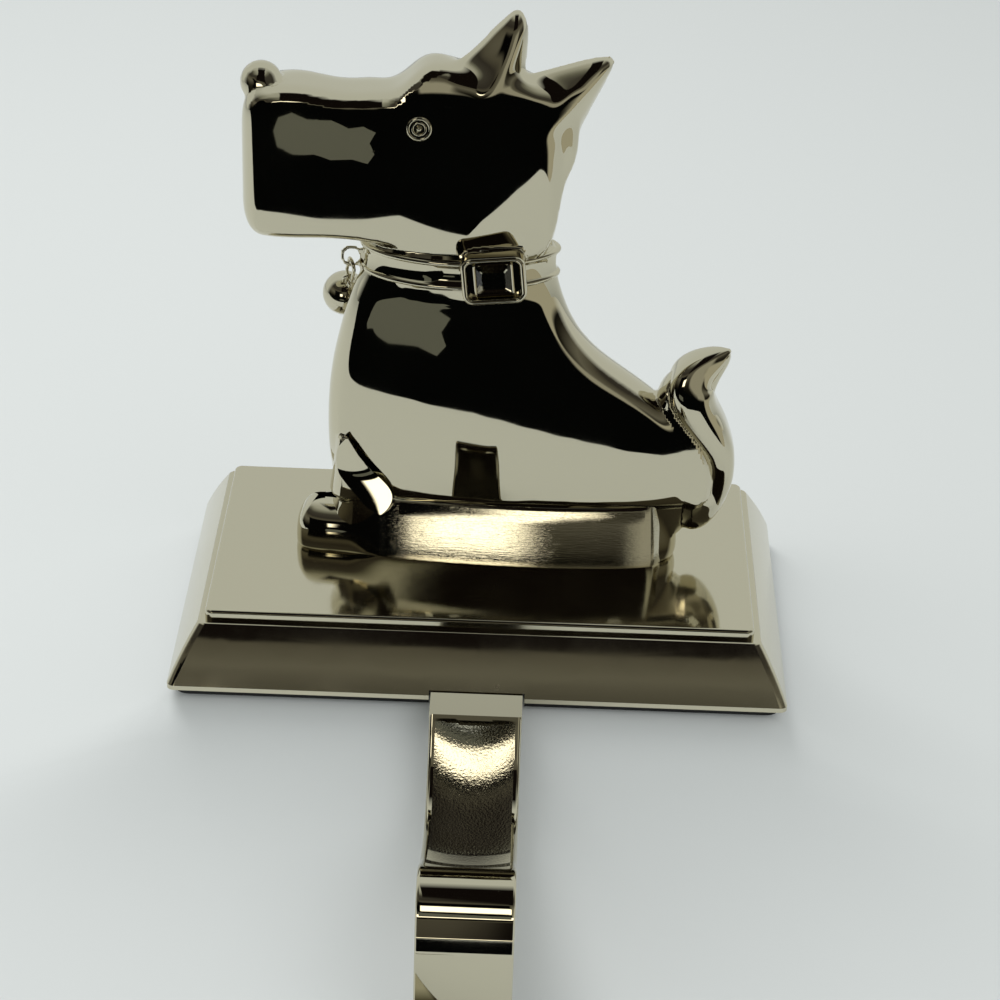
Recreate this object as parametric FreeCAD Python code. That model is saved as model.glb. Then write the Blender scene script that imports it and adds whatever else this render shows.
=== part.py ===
import FreeCAD, Part
import math
import os

from FreeCAD import Placement, Rotation, Vector

# Mantel stocking holder: a plated seated dog on a stepped base, with a swan-neck hook arm.
# The origin is the middle of the face that lies on the mantel.
# +X runs along the base towards the tail, +Y to the wall, +Z up. All lengths are in millimetres.

# Base casting
BASE_LENGTH = 127.0
BASE_DEPTH = 76.0
BASE_HEIGHT = 14.8
BASE_CORNER = 1.6
RIM_HEIGHT = 1.0
PLATEAU_INSET = 7.3
STEP_WIDTH = 1.3
STEP_HEIGHT = 2.2
BEVEL_BULGE = 0.35
EDGE_ROUND = 0.7
WALL = 2.6
CAVITY_INSET = 9.2

# Pad under the base
PAD_THICKNESS = 1.6
PAD_INSET = 1.3
PAD_CORNER = 3.0

# Hook arm
ARM_WIDTH = 18.75
ARM_THICKNESS = 3.0
NECK_THICKNESS = 4.4
ARM_LIFT = 0.2
ARM_EDGE = 0.7
ARM_TAIL = 21.0
NOTCH_GAP = 0.4
SWAN_REACH = 54.0
SWAN_DIP = 15.8
DROP = 40.0
HOOK_RADIUS = 8.5
HOOK_LIP = 10.0
HOOK_SET = 0.8
TONGUE_LENGTH = 7.5
LIP_DEPTH = 9.6
# Shares of the reach and the dip along the swan neck, then shares of the lip's depth and the dip.
SWAN_SHAPE = [
    (0.156, 0.13), (0.182, 0.32), (0.236, 0.68), (0.330, 0.93), (0.450, 1.00), (0.610, 0.87), (0.780, 0.63),
    (0.920, 0.34),
]
LIP_SHAPE = [(0.104, 0.19), (0.469, 0.205), (0.70, 0.29), (0.90, 0.52), (1.0, 0.84)]
STRIP_DENSITY = 3
DISH_RIM = 1.3
DISH_DEPTH = 1.1
DISH_END_DEPTH = 0.25
DISH_START = 8.0
DISH_END = 53.0
DISH_FADE = 0.5
DISH_SECTIONS = 10

# Ballast block in the base
BALLAST_GAP = 1.9
BALLAST_HEIGHT = 7.0
BALLAST_CORNER = 3.0

# Screws
SCREW_RADIUS = 2.0
SCREW_HEAD_RADIUS = 3.8
SCREW_HEAD_HEIGHT = 2.4
SCREW_GAP = 0.05
HEAD_GAP = 0.3
FIGURE_SCREW_SPACING = 44.0
FIGURE_SCREW_GRIP = 9.0
ARM_SCREW_SPACING = 10.0
ARM_SCREW_GRIP = 6.0
SCREW_HEAD_ROUND = 0.6
COUNTERSINK_RADIUS = 3.2
COUNTERSINK_DEPTH = 1.44
DRIVE_RADIUS = 1.3
DRIVE_DEPTH = 1.2

# Seated dog
FIGURE_LENGTH = 100.0
FIGURE_HEIGHT = 120.0
HEAD_HALF_DEPTH = 7.9
FOOT_HALF_DEPTH = 9.3
FOOT_HEIGHT = 17.0
# Share of the foot's height and how far the outline has drawn in there.
FOOT_SHAPE = [(0.0, 0.6), (0.08, 0.1), (0.22, 0.0), (0.4, 0.45), (0.6, 1.15), (0.8, 2.0), (0.93, 2.6), (1.0, 3.1)]
BEND_ROUND = 9.0
SECTION_POINTS = 48
OVAL_POINTS = 24
EAR_POINTS = 32
CORNER_STEPS = 10
NOSE_RADIUS = 4.2
EYE_RADIUS = 2.15
EYE_INNER_RADIUS = 1.3
EYE_WIRE = 0.34
PUPIL_RADIUS = 1.2

# Collar and buckle
COLLAR_HALF_LENGTH = 19.9
COLLAR_HALF_DEPTH = 9.7
COLLAR_HEIGHT = 6.0
COLLAR_RIM = 1.2
COLLAR_ROUND = 0.48
COLLAR_GROOVE = 0.55
LENS_POINTS = 28
LENS_POWER = 1.18
BUCKLE_LENGTH = 12.9
BUCKLE_HEIGHT = 10.2
BUCKLE_CORNER = 2.3
BUCKLE_RIM = 1.15
BUCKLE_ROUND = 0.52
BUCKLE_PROUD = 2.4
BUCKLE_SUNK = 2.0
BUCKLE_FLOOR = 0.5
BUCKLE_TILT = 6.0
STONE_LENGTH = 7.0
STONE_HEIGHT = 6.0
STONE_PROUD = 1.5
STONE_CORNER = 0.5
STONE_SUNK = 0.2
STONE_CROWN = 0.75
STONE_FACET = 1.2
SETTING_RIM = 0.55
SETTING_GAP = 0.05

# Charm
LOOP_RADIUS = 2.0
LOOP_WIRE = 0.5
LINK_WIRE = 0.38
LINK_LENGTH = 8.4
LINK_WIDTH = 3.7
LINK_TURN = -28.0
SMALL_LINK_LENGTH = 4.0
SMALL_LINK_WIDTH = 3.0
LINK_PLAY = 0.3
BALL_RADIUS = 4.6
BALL_EYE_RADIUS = 1.15
BALL_EYE_WIRE = 0.4
CHARM_LEAN = 41.0
CHARM_FORWARD = 8.0

RIM_Z = PAD_THICKNESS
PLATEAU_Z = RIM_Z + BASE_HEIGHT
CEILING_Z = PLATEAU_Z - WALL
ARM_TOP_Z = ARM_LIFT + ARM_THICKNESS
NOTCH_Z = ARM_TOP_Z + NOTCH_GAP
FRONT_Y = -BASE_DEPTH / 2
FLUSH = 1.0
NEAR = 1e-3

# Outlines of the dog seen from the side, in hundredths of its length and height.
# Upright sections of the head: place along the length, underside, bend, top, half depth at the bend
# and at the top, then the rounding of the lower and the upper edge.
HEAD_STATIONS = [
    (-50.0, 66.0, 77.0, 80.2, 2.2, 2.0, 1.6, 1.4), (-49.5, 63.2, 77.0, 83.0, 4.4, 4.3, 3.0, 2.6),
    (-48.3, 61.2, 77.0, 85.0, 6.3, 6.2, 4.4, 3.6), (-46.2, 60.2, 78.0, 86.1, 7.5, 7.4, 5.0, 4.2),
    (-43.2, 60.0, 78.0, 86.5, 7.9, 7.8, 5.2, 4.4), (-36.5, 60.0, 78.0, 86.5, 7.9, 7.8, 5.2, 4.4),
    (-29.0, 60.0, 78.0, 85.7, 7.9, 7.8, 5.2, 4.4), (-23.0, 59.4, 78.0, 85.9, 7.9, 7.8, 5.2, 4.4),
    (-18.6, 58.6, 79.5, 87.4, 7.9, 7.7, 5.0, 4.4), (-15.2, 57.8, 81.0, 89.9, 7.9, 7.0, 4.6, 4.0),
    (-12.4, 57.2, 81.4, 90.9, 7.9, 5.6, 4.4, 3.4), (-7.0, 57.0, 81.4, 90.3, 7.9, 4.6, 4.4, 3.2),
    (0.0, 57.0, 81.2, 90.2, 7.9, 4.4, 4.4, 3.2), (5.6, 57.2, 81.0, 88.8, 7.7, 4.4, 4.2, 3.2),
    (9.2, 58.0, 80.6, 87.6, 7.0, 4.6, 3.8, 3.2), (12.0, 61.5, 80.0, 86.6, 5.6, 4.2, 3.0, 2.8),
    (14.2, 71.5, 80.6, 85.6, 4.2, 3.4, 2.2, 2.2), (16.2, 78.0, 81.6, 84.8, 2.6, 2.4, 1.4, 1.4),
]
# Cross sections of the two ears from root to tip: middle, half width, half depth, shift of the ridge.
EAR_FRONT = [
    (-3.2, 84.4, 11.4, 8.0, 0.6), (-1.6, 88.0, 8.6, 6.9, 0.9), (0.2, 91.6, 5.9, 5.3, 1.4),
    (2.0, 95.4, 4.2, 3.7, 1.3), (3.3, 98.3, 2.5, 2.2, 0.6), (3.6, 99.9, 0.8, 0.8, 0.1),
]
EAR_REAR = [
    (5.8, 79.6, 11.8, 8.0, 0.8), (9.6, 83.0, 9.4, 7.1, 1.2), (13.4, 86.0, 6.8, 5.5, 1.3),
    (17.2, 88.8, 4.5, 3.8, 0.9), (20.2, 90.9, 2.6, 2.3, 0.4), (22.2, 92.2, 0.9, 0.8, 0.1),
]
EAR_RIDGE = 0.7
# Level sections of the body: height, front and back edge, half depth, and how square the section is.
BODY_LEVELS = [
    (5.0, -30.6, 41.5, 6.8, 3.6), (10.5, -30.5, 43.6, 6.9, 3.6), (15.5, -32.1, 45.9, 7.1, 3.5),
    (20.0, -32.7, 45.6, 7.4, 3.4), (24.5, -32.9, 42.6, 7.7, 3.3), (29.0, -32.8, 37.6, 7.9, 3.2),
    (33.5, -32.4, 31.0, 8.05, 3.0), (38.5, -31.5, 23.0, 8.2, 2.8), (43.5, -30.2, 17.8, 8.3, 2.6),
    (48.5, -28.6, 14.9, 8.4, 2.35), (53.0, -26.6, 13.2, 8.5, 2.15), (57.0, -25.2, 12.2, 8.5, 2.1),
    (61.0, -24.2, 11.6, 8.2, 2.1),
]
TAIL_LEVELS = [
    (5.9, 41.8, 45.6, 3.0, 2.4), (7.2, 40.6, 47.6, 4.4, 2.5), (9.6, 39.8, 49.6, 5.2, 2.5),
    (12.6, 39.4, 51.0, 5.6, 2.5), (16.0, 39.0, 51.7, 5.7, 2.5), (19.4, 38.6, 51.6, 5.6, 2.5),
    (22.8, 38.0, 50.0, 5.4, 2.5), (26.0, 36.8, 48.2, 5.2, 2.5), (29.0, 35.4, 46.8, 5.0, 2.5),
    (32.0, 35.0, 46.6, 4.8, 2.5), (35.0, 36.8, 47.6, 4.4, 2.4), (37.6, 39.8, 49.0, 3.6, 2.3),
    (39.2, 43.4, 49.5, 2.6, 2.2), (40.1, 47.2, 49.2, 1.0, 2.0),
]
LEG_LEVELS = [
    (4.6, -34.0, -17.6, 8.6, 3.0), (8.0, -33.8, -18.2, 9.0, 3.0), (12.0, -32.7, -20.8, 9.0, 3.0),
    (16.0, -32.0, -24.0, 8.8, 2.8), (20.0, -31.6, -26.8, 8.2, 2.6), (23.0, -31.4, -28.4, 6.5, 2.4),
]
# Half of the foot seen from above, in hundredths of the length and of the foot's half depth.
FOOT_OUTLINE = [
    (-33.0, 0.0), (-32.4, 46.0), (-30.6, 66.0), (-27.0, 76.0), (-21.0, 83.0), (-9.0, 95.0),
    (3.0, 100.0), (20.0, 97.0), (33.0, 84.0), (39.4, 50.0), (40.8, 0.0),
]
PAW_LEVELS = [
    (0.0, -38.9, -27.0, 5.6, 2.6), (0.8, -39.6, -27.0, 6.3, 2.6), (2.2, -39.9, -26.6, 6.7, 2.6),
    (4.2, -39.8, -26.4, 6.7, 2.5), (6.2, -39.0, -27.0, 6.1, 2.4), (7.8, -37.4, -28.6, 4.9, 2.3),
    (8.8, -35.4, -30.2, 3.2, 2.2), (9.2, -33.8, -31.6, 1.3, 2.0),
]
EYE_PLACE = (-14.9, 81.4)
NOSE_PLACE = (-46.2, 86.0)
COLLAR_PLACE = (-6.5, 56.1)
BUCKLE_PLACE = (0.5, 56.3)
LOOP_PLACE = (-28.4, 55.4)


def on_figure(place):
    """Turns a place in hundredths of the dog's length and height into x and z."""
    return FIGURE_LENGTH * place[0] / 100, FIGURE_HEIGHT * place[1] / 100


def rounded_rectangle(length, depth, radius, z):
    """Makes a horizontal rectangle with round corners, centred on the Z axis."""
    a, b = length / 2 - radius, depth / 2 - radius
    corners = [(a, b, 0), (-a, b, 90), (-a, -b, 180), (a, -b, 270)]
    edges, last, first = [], None, None
    for x, y, turn in corners:
        centre = Vector(x, y, z)
        arc = Part.ArcOfCircle(
            Part.Circle(centre, Vector(0, 0, 1), radius),
            math.radians(turn),
            math.radians(turn + 90),
        ).toShape()
        start, end = arc.valueAt(arc.FirstParameter), arc.valueAt(arc.LastParameter)
        if last is not None:
            edges.append(Part.LineSegment(last, start).toShape())
        else:
            first = start
        edges.append(arc)
        last = end
    edges.append(Part.LineSegment(last, first).toShape())
    return Part.Wire(edges)


def slab(length, depth, radius, low, high):
    """Makes a plate with round corners between two heights."""
    face = Part.Face(rounded_rectangle(length, depth, radius, low))
    return face.extrude(Vector(0, 0, high - low))


def rod(radius, low, high, x=0.0, y=0.0):
    """Makes an upright round rod."""
    return Part.makeCylinder(radius, high - low, Vector(x, y, low))


def ring(centre, normal, radius, wire):
    """Makes a round ring of round wire."""
    return Part.makeTorus(radius, wire, centre, normal)


def closed_curve(points):
    """Makes a smooth closed curve through points."""
    curve = Part.BSplineCurve()
    curve.interpolate(Points=points, PeriodicFlag=True)
    return Part.Wire(curve.toShape())


def inward(points, distance):
    """Moves each point of a closed outline inwards, square to its neighbours."""
    count = len(points)
    moved = []
    for i, (x, y) in enumerate(points):
        dx = points[(i + 1) % count][0] - points[i - 1][0]
        dy = points[(i + 1) % count][1] - points[i - 1][1]
        size = math.hypot(dx, dy)
        moved.append((x - distance * dy / size, y + distance * dx / size))
    return moved


def base_shell():
    """Makes the stepped base casting, hollow below, with its notch and screw bosses."""
    shoulder_z = PLATEAU_Z - STEP_HEIGHT
    bevel_in = PLATEAU_INSET - STEP_WIDTH
    rim_top = RIM_Z + RIM_HEIGHT
    middle_z = (rim_top + shoulder_z) / 2
    levels = [
        (0.0, rim_top),
        (bevel_in / 2 - BEVEL_BULGE, middle_z),
        (bevel_in, shoulder_z),
    ]
    wires = [
        rounded_rectangle(BASE_LENGTH - 2 * d, BASE_DEPTH - 2 * d, BASE_CORNER, z) for d, z in levels
    ]
    bevel = Part.makeLoft(wires, True, False)
    rim = slab(BASE_LENGTH, BASE_DEPTH, BASE_CORNER, RIM_Z, rim_top)
    plateau = slab(
        BASE_LENGTH - 2 * PLATEAU_INSET,
        BASE_DEPTH - 2 * PLATEAU_INSET,
        BASE_CORNER,
        shoulder_z - FLUSH,
        PLATEAU_Z,
    )
    body = rim.fuse([bevel, plateau]).removeSplitter()
    tops = [
        e
        for e in body.Edges
        if min(abs(e.BoundBox.ZMin - z) + abs(e.BoundBox.ZMax - z) for z in (PLATEAU_Z, shoulder_z))
        < NEAR
        and not is_inner(e, shoulder_z)
    ]
    body = body.makeFillet(EDGE_ROUND, tops)
    cavity = slab(
        BASE_LENGTH - 2 * CAVITY_INSET,
        BASE_DEPTH - 2 * CAVITY_INSET,
        BASE_CORNER,
        RIM_Z - FLUSH,
        CEILING_Z,
    )
    boss = Part.makeBox(
        ARM_WIDTH,
        boss_depth() + FLUSH,
        CEILING_Z - ARM_TOP_Z,
        Vector(-ARM_WIDTH / 2, cavity_front() - FLUSH, ARM_TOP_Z),
    )
    notch_width = ARM_WIDTH + 2 * NOTCH_GAP
    notch = Part.makeBox(
        notch_width,
        CAVITY_INSET + 2 * FLUSH,
        NOTCH_Z - RIM_Z + FLUSH,
        Vector(-notch_width / 2, FRONT_Y - FLUSH, RIM_Z - FLUSH),
    )
    body = body.cut([cavity]).fuse(boss).cut(notch)
    holes = [rod(SCREW_RADIUS + SCREW_GAP, CEILING_Z - FLUSH, PLATEAU_Z + FLUSH, x) for x in figure_screw_x()]
    for x in arm_screw_x():
        top = ARM_TOP_Z + ARM_SCREW_GRIP + SCREW_GAP
        holes.append(rod(SCREW_RADIUS + SCREW_GAP, ARM_TOP_Z - FLUSH, top, x, arm_screw_y()))
    return body.cut(holes)


def is_inner(edge, shoulder_z):
    """Tells whether an edge is the foot of the plateau's riser."""
    box = edge.BoundBox
    at_shoulder = abs(box.ZMax - shoulder_z) < NEAR
    reach_x = max(abs(box.XMin), abs(box.XMax))
    reach_y = max(abs(box.YMin), abs(box.YMax))
    inside_x = reach_x < BASE_LENGTH / 2 - PLATEAU_INSET + NEAR
    inside_y = reach_y < BASE_DEPTH / 2 - PLATEAU_INSET + NEAR
    return at_shoulder and inside_x and inside_y


def cavity_front():
    """Gives the y of the cavity's front wall."""
    return FRONT_Y + CAVITY_INSET


def boss_depth():
    """Gives how far the arm's boss reaches into the cavity."""
    return ARM_TAIL - CAVITY_INSET


def figure_screw_x():
    """Gives the x of each screw that holds the dog."""
    return (-FIGURE_SCREW_SPACING / 2, FIGURE_SCREW_SPACING / 2)


def arm_screw_x():
    """Gives the x of each screw that holds the hook arm."""
    return (-ARM_SCREW_SPACING / 2, ARM_SCREW_SPACING / 2)


def arm_screw_y():
    """Gives the y of the screws that hold the hook arm."""
    return cavity_front() + boss_depth() / 2


def base_pad():
    """Makes the soft pad, slotted for the hook arm's tail."""
    pad = slab(BASE_LENGTH - 2 * PAD_INSET, BASE_DEPTH - 2 * PAD_INSET, PAD_CORNER, 0, PAD_THICKNESS)
    slot_width = ARM_WIDTH + 2 * NOTCH_GAP
    slot = Part.makeBox(
        slot_width,
        ARM_TAIL + NOTCH_GAP + FLUSH,
        PAD_THICKNESS + 2 * FLUSH,
        Vector(-slot_width / 2, FRONT_Y - FLUSH, -FLUSH),
    )
    return pad.cut(slot)


def ballast():
    """Makes the iron block that is clamped against the base's ceiling."""
    low = CEILING_Z - BALLAST_HEIGHT
    length = BASE_LENGTH - 2 * (CAVITY_INSET + BALLAST_GAP)
    depth = BASE_DEPTH - CAVITY_INSET - ARM_TAIL - 2 * BALLAST_GAP
    middle_y = BASE_DEPTH / 2 - CAVITY_INSET - BALLAST_GAP - depth / 2
    block = slab(length, depth, BALLAST_CORNER, low, CEILING_Z)
    block.translate(Vector(0, middle_y, 0))
    cuts = []
    for x in figure_screw_x():
        cuts.append(rod(SCREW_RADIUS + SCREW_GAP, low - FLUSH, CEILING_Z + FLUSH, x))
        cuts.append(rod(SCREW_HEAD_RADIUS + HEAD_GAP, low - FLUSH, low + SCREW_HEAD_HEIGHT, x))
    return block.cut(cuts)


def screw(seat_z, length, x, y):
    """Makes a pan-head screw that points up, its head under the seat."""
    head = rod(SCREW_HEAD_RADIUS, seat_z - SCREW_HEAD_HEIGHT, seat_z, x, y)
    low_edges = [e for e in head.Edges if e.BoundBox.ZMax < seat_z - SCREW_HEAD_HEIGHT + NEAR]
    head = head.makeFillet(SCREW_HEAD_ROUND, low_edges)
    shank = rod(SCREW_RADIUS, seat_z, seat_z + length, x, y)
    drive = rod(DRIVE_RADIUS, seat_z - SCREW_HEAD_HEIGHT - FLUSH, seat_z - SCREW_HEAD_HEIGHT + DRIVE_DEPTH, x, y)
    return head.fuse(shank).cut(drive)


def figure_screws():
    """Makes the screws that clamp the dog, the base and the ballast."""
    seat = CEILING_Z - BALLAST_HEIGHT + SCREW_HEAD_HEIGHT
    length = PLATEAU_Z + FIGURE_SCREW_GRIP - seat
    return Part.makeCompound([screw(seat, length, x, 0) for x in figure_screw_x()])


def arm_screw_seat():
    """Gives the height at which the arm's countersunk screw heads start to spread."""
    return ARM_LIFT + COUNTERSINK_DEPTH


def countersink(x, grow):
    """Makes the cone of a countersunk head at the arm's underside."""
    place = Vector(x, arm_screw_y(), ARM_LIFT)
    return Part.makeCone(COUNTERSINK_RADIUS + grow, SCREW_RADIUS + grow, COUNTERSINK_DEPTH, place)


def arm_screws():
    """Makes the countersunk screws that hold the arm's tail to the boss."""
    pieces = []
    for x in arm_screw_x():
        shank = rod(SCREW_RADIUS, arm_screw_seat(), ARM_TOP_Z + ARM_SCREW_GRIP, x, arm_screw_y())
        drive = rod(DRIVE_RADIUS, ARM_LIFT - FLUSH, ARM_LIFT + DRIVE_DEPTH, x, arm_screw_y())
        pieces.append(countersink(x, 0).fuse(shank).cut(drive))
    return Part.makeCompound(pieces)


def arm_curve():
    """Gives the arm's upper face from the lip of the notch to the hook's tip, as y and z."""
    lip_y = FRONT_Y - SWAN_REACH
    face_y = lip_y - LIP_DEPTH
    hook_z = -DROP + ARM_THICKNESS + HOOK_RADIUS
    points = [(FRONT_Y - TONGUE_LENGTH, ARM_TOP_Z)]
    points += [(FRONT_Y - SWAN_REACH * u, ARM_TOP_Z - SWAN_DIP * v) for u, v in SWAN_SHAPE]
    points += [(lip_y - LIP_DEPTH * u, ARM_TOP_Z - SWAN_DIP * v) for u, v in LIP_SHAPE]
    points.append((face_y - HOOK_SET / 2, (points[-1][1] + hook_z) / 2 - HOOK_SET))
    for turn in range(0, 181, 30):
        angle = math.radians(turn)
        y = face_y - HOOK_SET - HOOK_RADIUS * (1 - math.cos(angle))
        points.append((y, hook_z - HOOK_RADIUS * math.sin(angle)))
    points.append((points[-1][0], hook_z + HOOK_LIP - HOOK_RADIUS))
    return points


def open_curve(points):
    """Makes a smooth open curve through points that sets out and ends straight towards its neighbours."""
    curve = Part.BSplineCurve()
    curve.interpolate(
        Points=points,
        InitialTangent=(points[1] - points[0]).normalize(),
        FinalTangent=(points[-1] - points[-2]).normalize(),
    )
    return curve


def strip(points, thickness, half_width):
    """Makes a strip of even thickness whose upper face follows a curve."""
    curve = open_curve([Vector(0, y, z) for y, z in points])
    count = STRIP_DENSITY * len(points)
    upper, lower = [], []
    for i in range(count + 1):
        t = curve.FirstParameter + (curve.LastParameter - curve.FirstParameter) * i / count
        down = Vector(1, 0, 0).cross(curve.tangent(t)[0])
        upper.append(curve.value(t))
        lower.append(curve.value(t) + down * thickness)
    edges = [open_curve(upper).toShape(), open_curve(lower).toShape()]
    edges.append(Part.LineSegment(upper[0], lower[0]).toShape())
    edges.append(Part.LineSegment(upper[-1], lower[-1]).toShape())
    face = Part.Face(Part.Wire(Part.__sortEdges__(edges)))
    face.translate(Vector(-half_width, 0, 0))
    return face.extrude(Vector(2 * half_width, 0, 0))


def dish():
    """Makes the hollow in the swan neck's upper face: a shallow arc across, faded at both ends."""
    curve = open_curve([Vector(0, y, z) for y, z in arm_curve()])
    half = ARM_WIDTH / 2 - DISH_RIM
    sections = []
    for i in range(DISH_SECTIONS + 1):
        share = i / DISH_SECTIONS
        y = FRONT_Y - DISH_START - (DISH_END - DISH_START) * share
        t = curve_at(curve, y)
        place, along = curve.value(t), curve.tangent(t)[0]
        up = along.cross(Vector(1, 0, 0))
        if up.z < 0:
            up = -up
        deep = DISH_END_DEPTH + (DISH_DEPTH - DISH_END_DEPTH) * math.sin(math.pi * share) ** DISH_FADE
        left, right = place - Vector(half, 0, 0), place + Vector(half, 0, 0)
        over = up * FLUSH
        edges = [
            Part.Arc(left, place - up * deep, right).toShape(),
            Part.LineSegment(right, right + over).toShape(),
            Part.LineSegment(right + over, left + over).toShape(),
            Part.LineSegment(left + over, left).toShape(),
        ]
        sections.append(Part.Wire(edges))
    return Part.makeLoft(sections, True, False)


def curve_at(curve, y):
    """Gives the place on the arm's curve that lies at a given y on the swan neck."""
    low, high = curve.FirstParameter, curve.parameter(Vector(0, FRONT_Y - SWAN_REACH, ARM_TOP_Z))
    while high - low > NEAR**2:
        middle = (low + high) / 2
        if curve.value(middle).y > y:
            low = middle
        else:
            high = middle
    return (low + high) / 2


def hook_arm():
    """Makes the arm: flat tail, dished swan neck, front drop and hook."""
    points = arm_curve()
    neck = strip(points, NECK_THICKNESS, ARM_WIDTH / 2)
    long_edges = [e for e in neck.Edges if e.BoundBox.XLength < NEAR and e.Length > SWAN_REACH]
    neck = neck.makeFillet(ARM_EDGE, long_edges)
    start_y = points[0][0]
    tail_end = FRONT_Y + ARM_TAIL
    tail = Part.makeBox(
        ARM_WIDTH,
        tail_end - start_y,
        ARM_THICKNESS,
        Vector(-ARM_WIDTH / 2, start_y, ARM_LIFT),
    )
    arm = neck.cut(dish()).fuse(tail)
    cuts = []
    for x in arm_screw_x():
        cuts.append(rod(SCREW_RADIUS + SCREW_GAP, ARM_LIFT - FLUSH, ARM_TOP_Z + FLUSH, x, arm_screw_y()))
        cuts.append(countersink(x, SCREW_GAP))
    return arm.cut(cuts)


def oval_section(front, back, half_depth, square, z):
    """Makes a level closed curve between a front and a back edge, rounder or squarer."""
    middle, reach = (front + back) / 2, (back - front) / 2
    points = []
    for i in range(OVAL_POINTS):
        turn = 2 * math.pi * (i + 0.5) / OVAL_POINTS
        c, s = math.cos(turn), math.sin(turn)
        x = middle + reach * math.copysign(abs(c) ** (2 / square), c)
        y = half_depth * math.copysign(abs(s) ** (2 / square), s)
        points.append(Vector(x, y, z))
    return closed_curve(points)


def round_corners(corners, count):
    """Gives evenly spaced points round a polygon whose corners are (u, v, radius)."""
    fine = []
    for i, (u, v, radius) in enumerate(corners):
        before, after = corners[i - 1], corners[(i + 1) % len(corners)]
        corner = Vector(u, v, 0)
        back = Vector(before[0] - u, before[1] - v, 0).normalize()
        ahead = Vector(after[0] - u, after[1] - v, 0).normalize()
        reach = radius / math.tan(back.getAngle(ahead) / 2)
        start, end = corner + back * reach, corner + ahead * reach
        for step in range(CORNER_STEPS + 1):
            t = step / CORNER_STEPS
            fine.append(start * (1 - t) ** 2 + corner * 2 * t * (1 - t) + end * t**2)
    lengths = [(fine[i] - fine[i - 1]).Length for i in range(len(fine))]
    points, walked, i = [], lengths[0] / 2, 0
    for step in range(count):
        while walked < sum(lengths) * step / count:
            i += 1
            walked += lengths[i % len(fine)]
        first, second = fine[i % len(fine) - 1], fine[i % len(fine)]
        share = (walked - sum(lengths) * step / count) / lengths[i % len(fine)]
        points.append(second + (first - second) * min(share, 1.0))
    return points


def rowed(stations):
    """Makes a smooth solid through upright sections with a bent, rounded side."""
    wires = []
    for place, low, bend, high, wide, narrow, low_round, high_round in stations:
        x = FIGURE_LENGTH * place / 100
        z0, z1, z2 = (FIGURE_HEIGHT * value / 100 for value in (low, bend, high))
        corners = [
            (-wide, z0, low_round),
            (wide, z0, low_round),
            (wide, z1, BEND_ROUND),
            (narrow, z2, high_round),
            (-narrow, z2, high_round),
            (-wide, z1, BEND_ROUND),
        ]
        wires.append(closed_curve([Vector(x, p.x, p.y) for p in round_corners(corners, SECTION_POINTS)]))
    return Part.makeLoft(wires, True, False)


def stacked(levels):
    """Makes a smooth solid through level sections."""
    wires = []
    for height, front, back, half_depth, square in levels:
        x0, x1 = FIGURE_LENGTH * front / 100, FIGURE_LENGTH * back / 100
        wires.append(oval_section(x0, x1, half_depth, square, FIGURE_HEIGHT * height / 100))
    return Part.makeLoft(wires, True, False)


def foot():
    """Makes the rounded foot that the dog sits on, paws included."""
    half = [(FIGURE_LENGTH * x / 100, -FOOT_HALF_DEPTH * y / 100) for x, y in FOOT_OUTLINE]
    full = half + [(x, -y) for x, y in half[-2:0:-1]]
    wires = []
    for share_z, shrink in FOOT_SHAPE:
        ring_ = inward(full, shrink)
        wires.append(closed_curve([Vector(x, y, share_z * FOOT_HEIGHT) for x, y in ring_]))
    return Part.makeLoft(wires, True, False)


def ear(sections):
    """Makes a pointed ear with a ridge down each face and a wide root."""
    root, tip = on_figure(sections[0][:2]), on_figure(sections[-1][:2])
    along = Vector(tip[0] - root[0], 0, tip[1] - root[1]).normalize()
    across = Vector(0, 1, 0).cross(along)
    wires = []
    for x, z, wide, deep, shift in sections:
        place = on_figure((x, z))
        middle = Vector(place[0], 0, place[1])
        ridge = min(EAR_RIDGE, wide / 2)
        corners = [(-wide, 0, ridge), (shift, -deep, ridge), (wide, 0, ridge), (shift, deep, ridge)]
        points = [middle + across * p.x + Vector(0, p.y, 0) for p in round_corners(corners, EAR_POINTS)]
        wires.append(closed_curve(points))
    return Part.makeLoft(wires, True, False)


def lens(half_length, half_depth, low, high, x):
    """Makes an upright solid whose plan is a lens with blunt ends."""
    points = []
    for i in range(LENS_POINTS):
        turn = 2 * math.pi * i / LENS_POINTS
        c, s = math.cos(turn), math.sin(turn)
        points.append(Vector(x + half_length * c, half_depth * math.copysign(abs(s) ** LENS_POWER, s), low))
    return Part.Face(closed_curve(points)).extrude(Vector(0, 0, high - low))


def collar():
    """Makes the collar band with a raised rim above and below."""
    x, z = on_figure(COLLAR_PLACE)
    low, high = z - COLLAR_HEIGHT / 2, z + COLLAR_HEIGHT / 2
    rims = []
    for foot_z in (low, high - COLLAR_RIM):
        rim = lens(COLLAR_HALF_LENGTH, COLLAR_HALF_DEPTH, foot_z, foot_z + COLLAR_RIM, x)
        edges = [e for e in rim.Edges if e.BoundBox.ZLength < NEAR]
        rims.append(rim.makeFillet(COLLAR_ROUND, edges))
    band_length, band_depth = COLLAR_HALF_LENGTH - COLLAR_GROOVE, COLLAR_HALF_DEPTH - COLLAR_GROOVE
    band = lens(band_length, band_depth, low + COLLAR_RIM / 2, high - COLLAR_RIM / 2, x)
    return rims[0].fuse([band, rims[1]])


def buckle_place():
    """Gives the placement of the buckle: local Z points out of the collar."""
    x, z = on_figure(BUCKLE_PLACE)
    turn = Rotation(Vector(0, 1, 0), -BUCKLE_TILT).multiply(Rotation(Vector(1, 0, 0), 90))
    return Placement(Vector(x, -COLLAR_HALF_DEPTH, z), turn)


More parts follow.
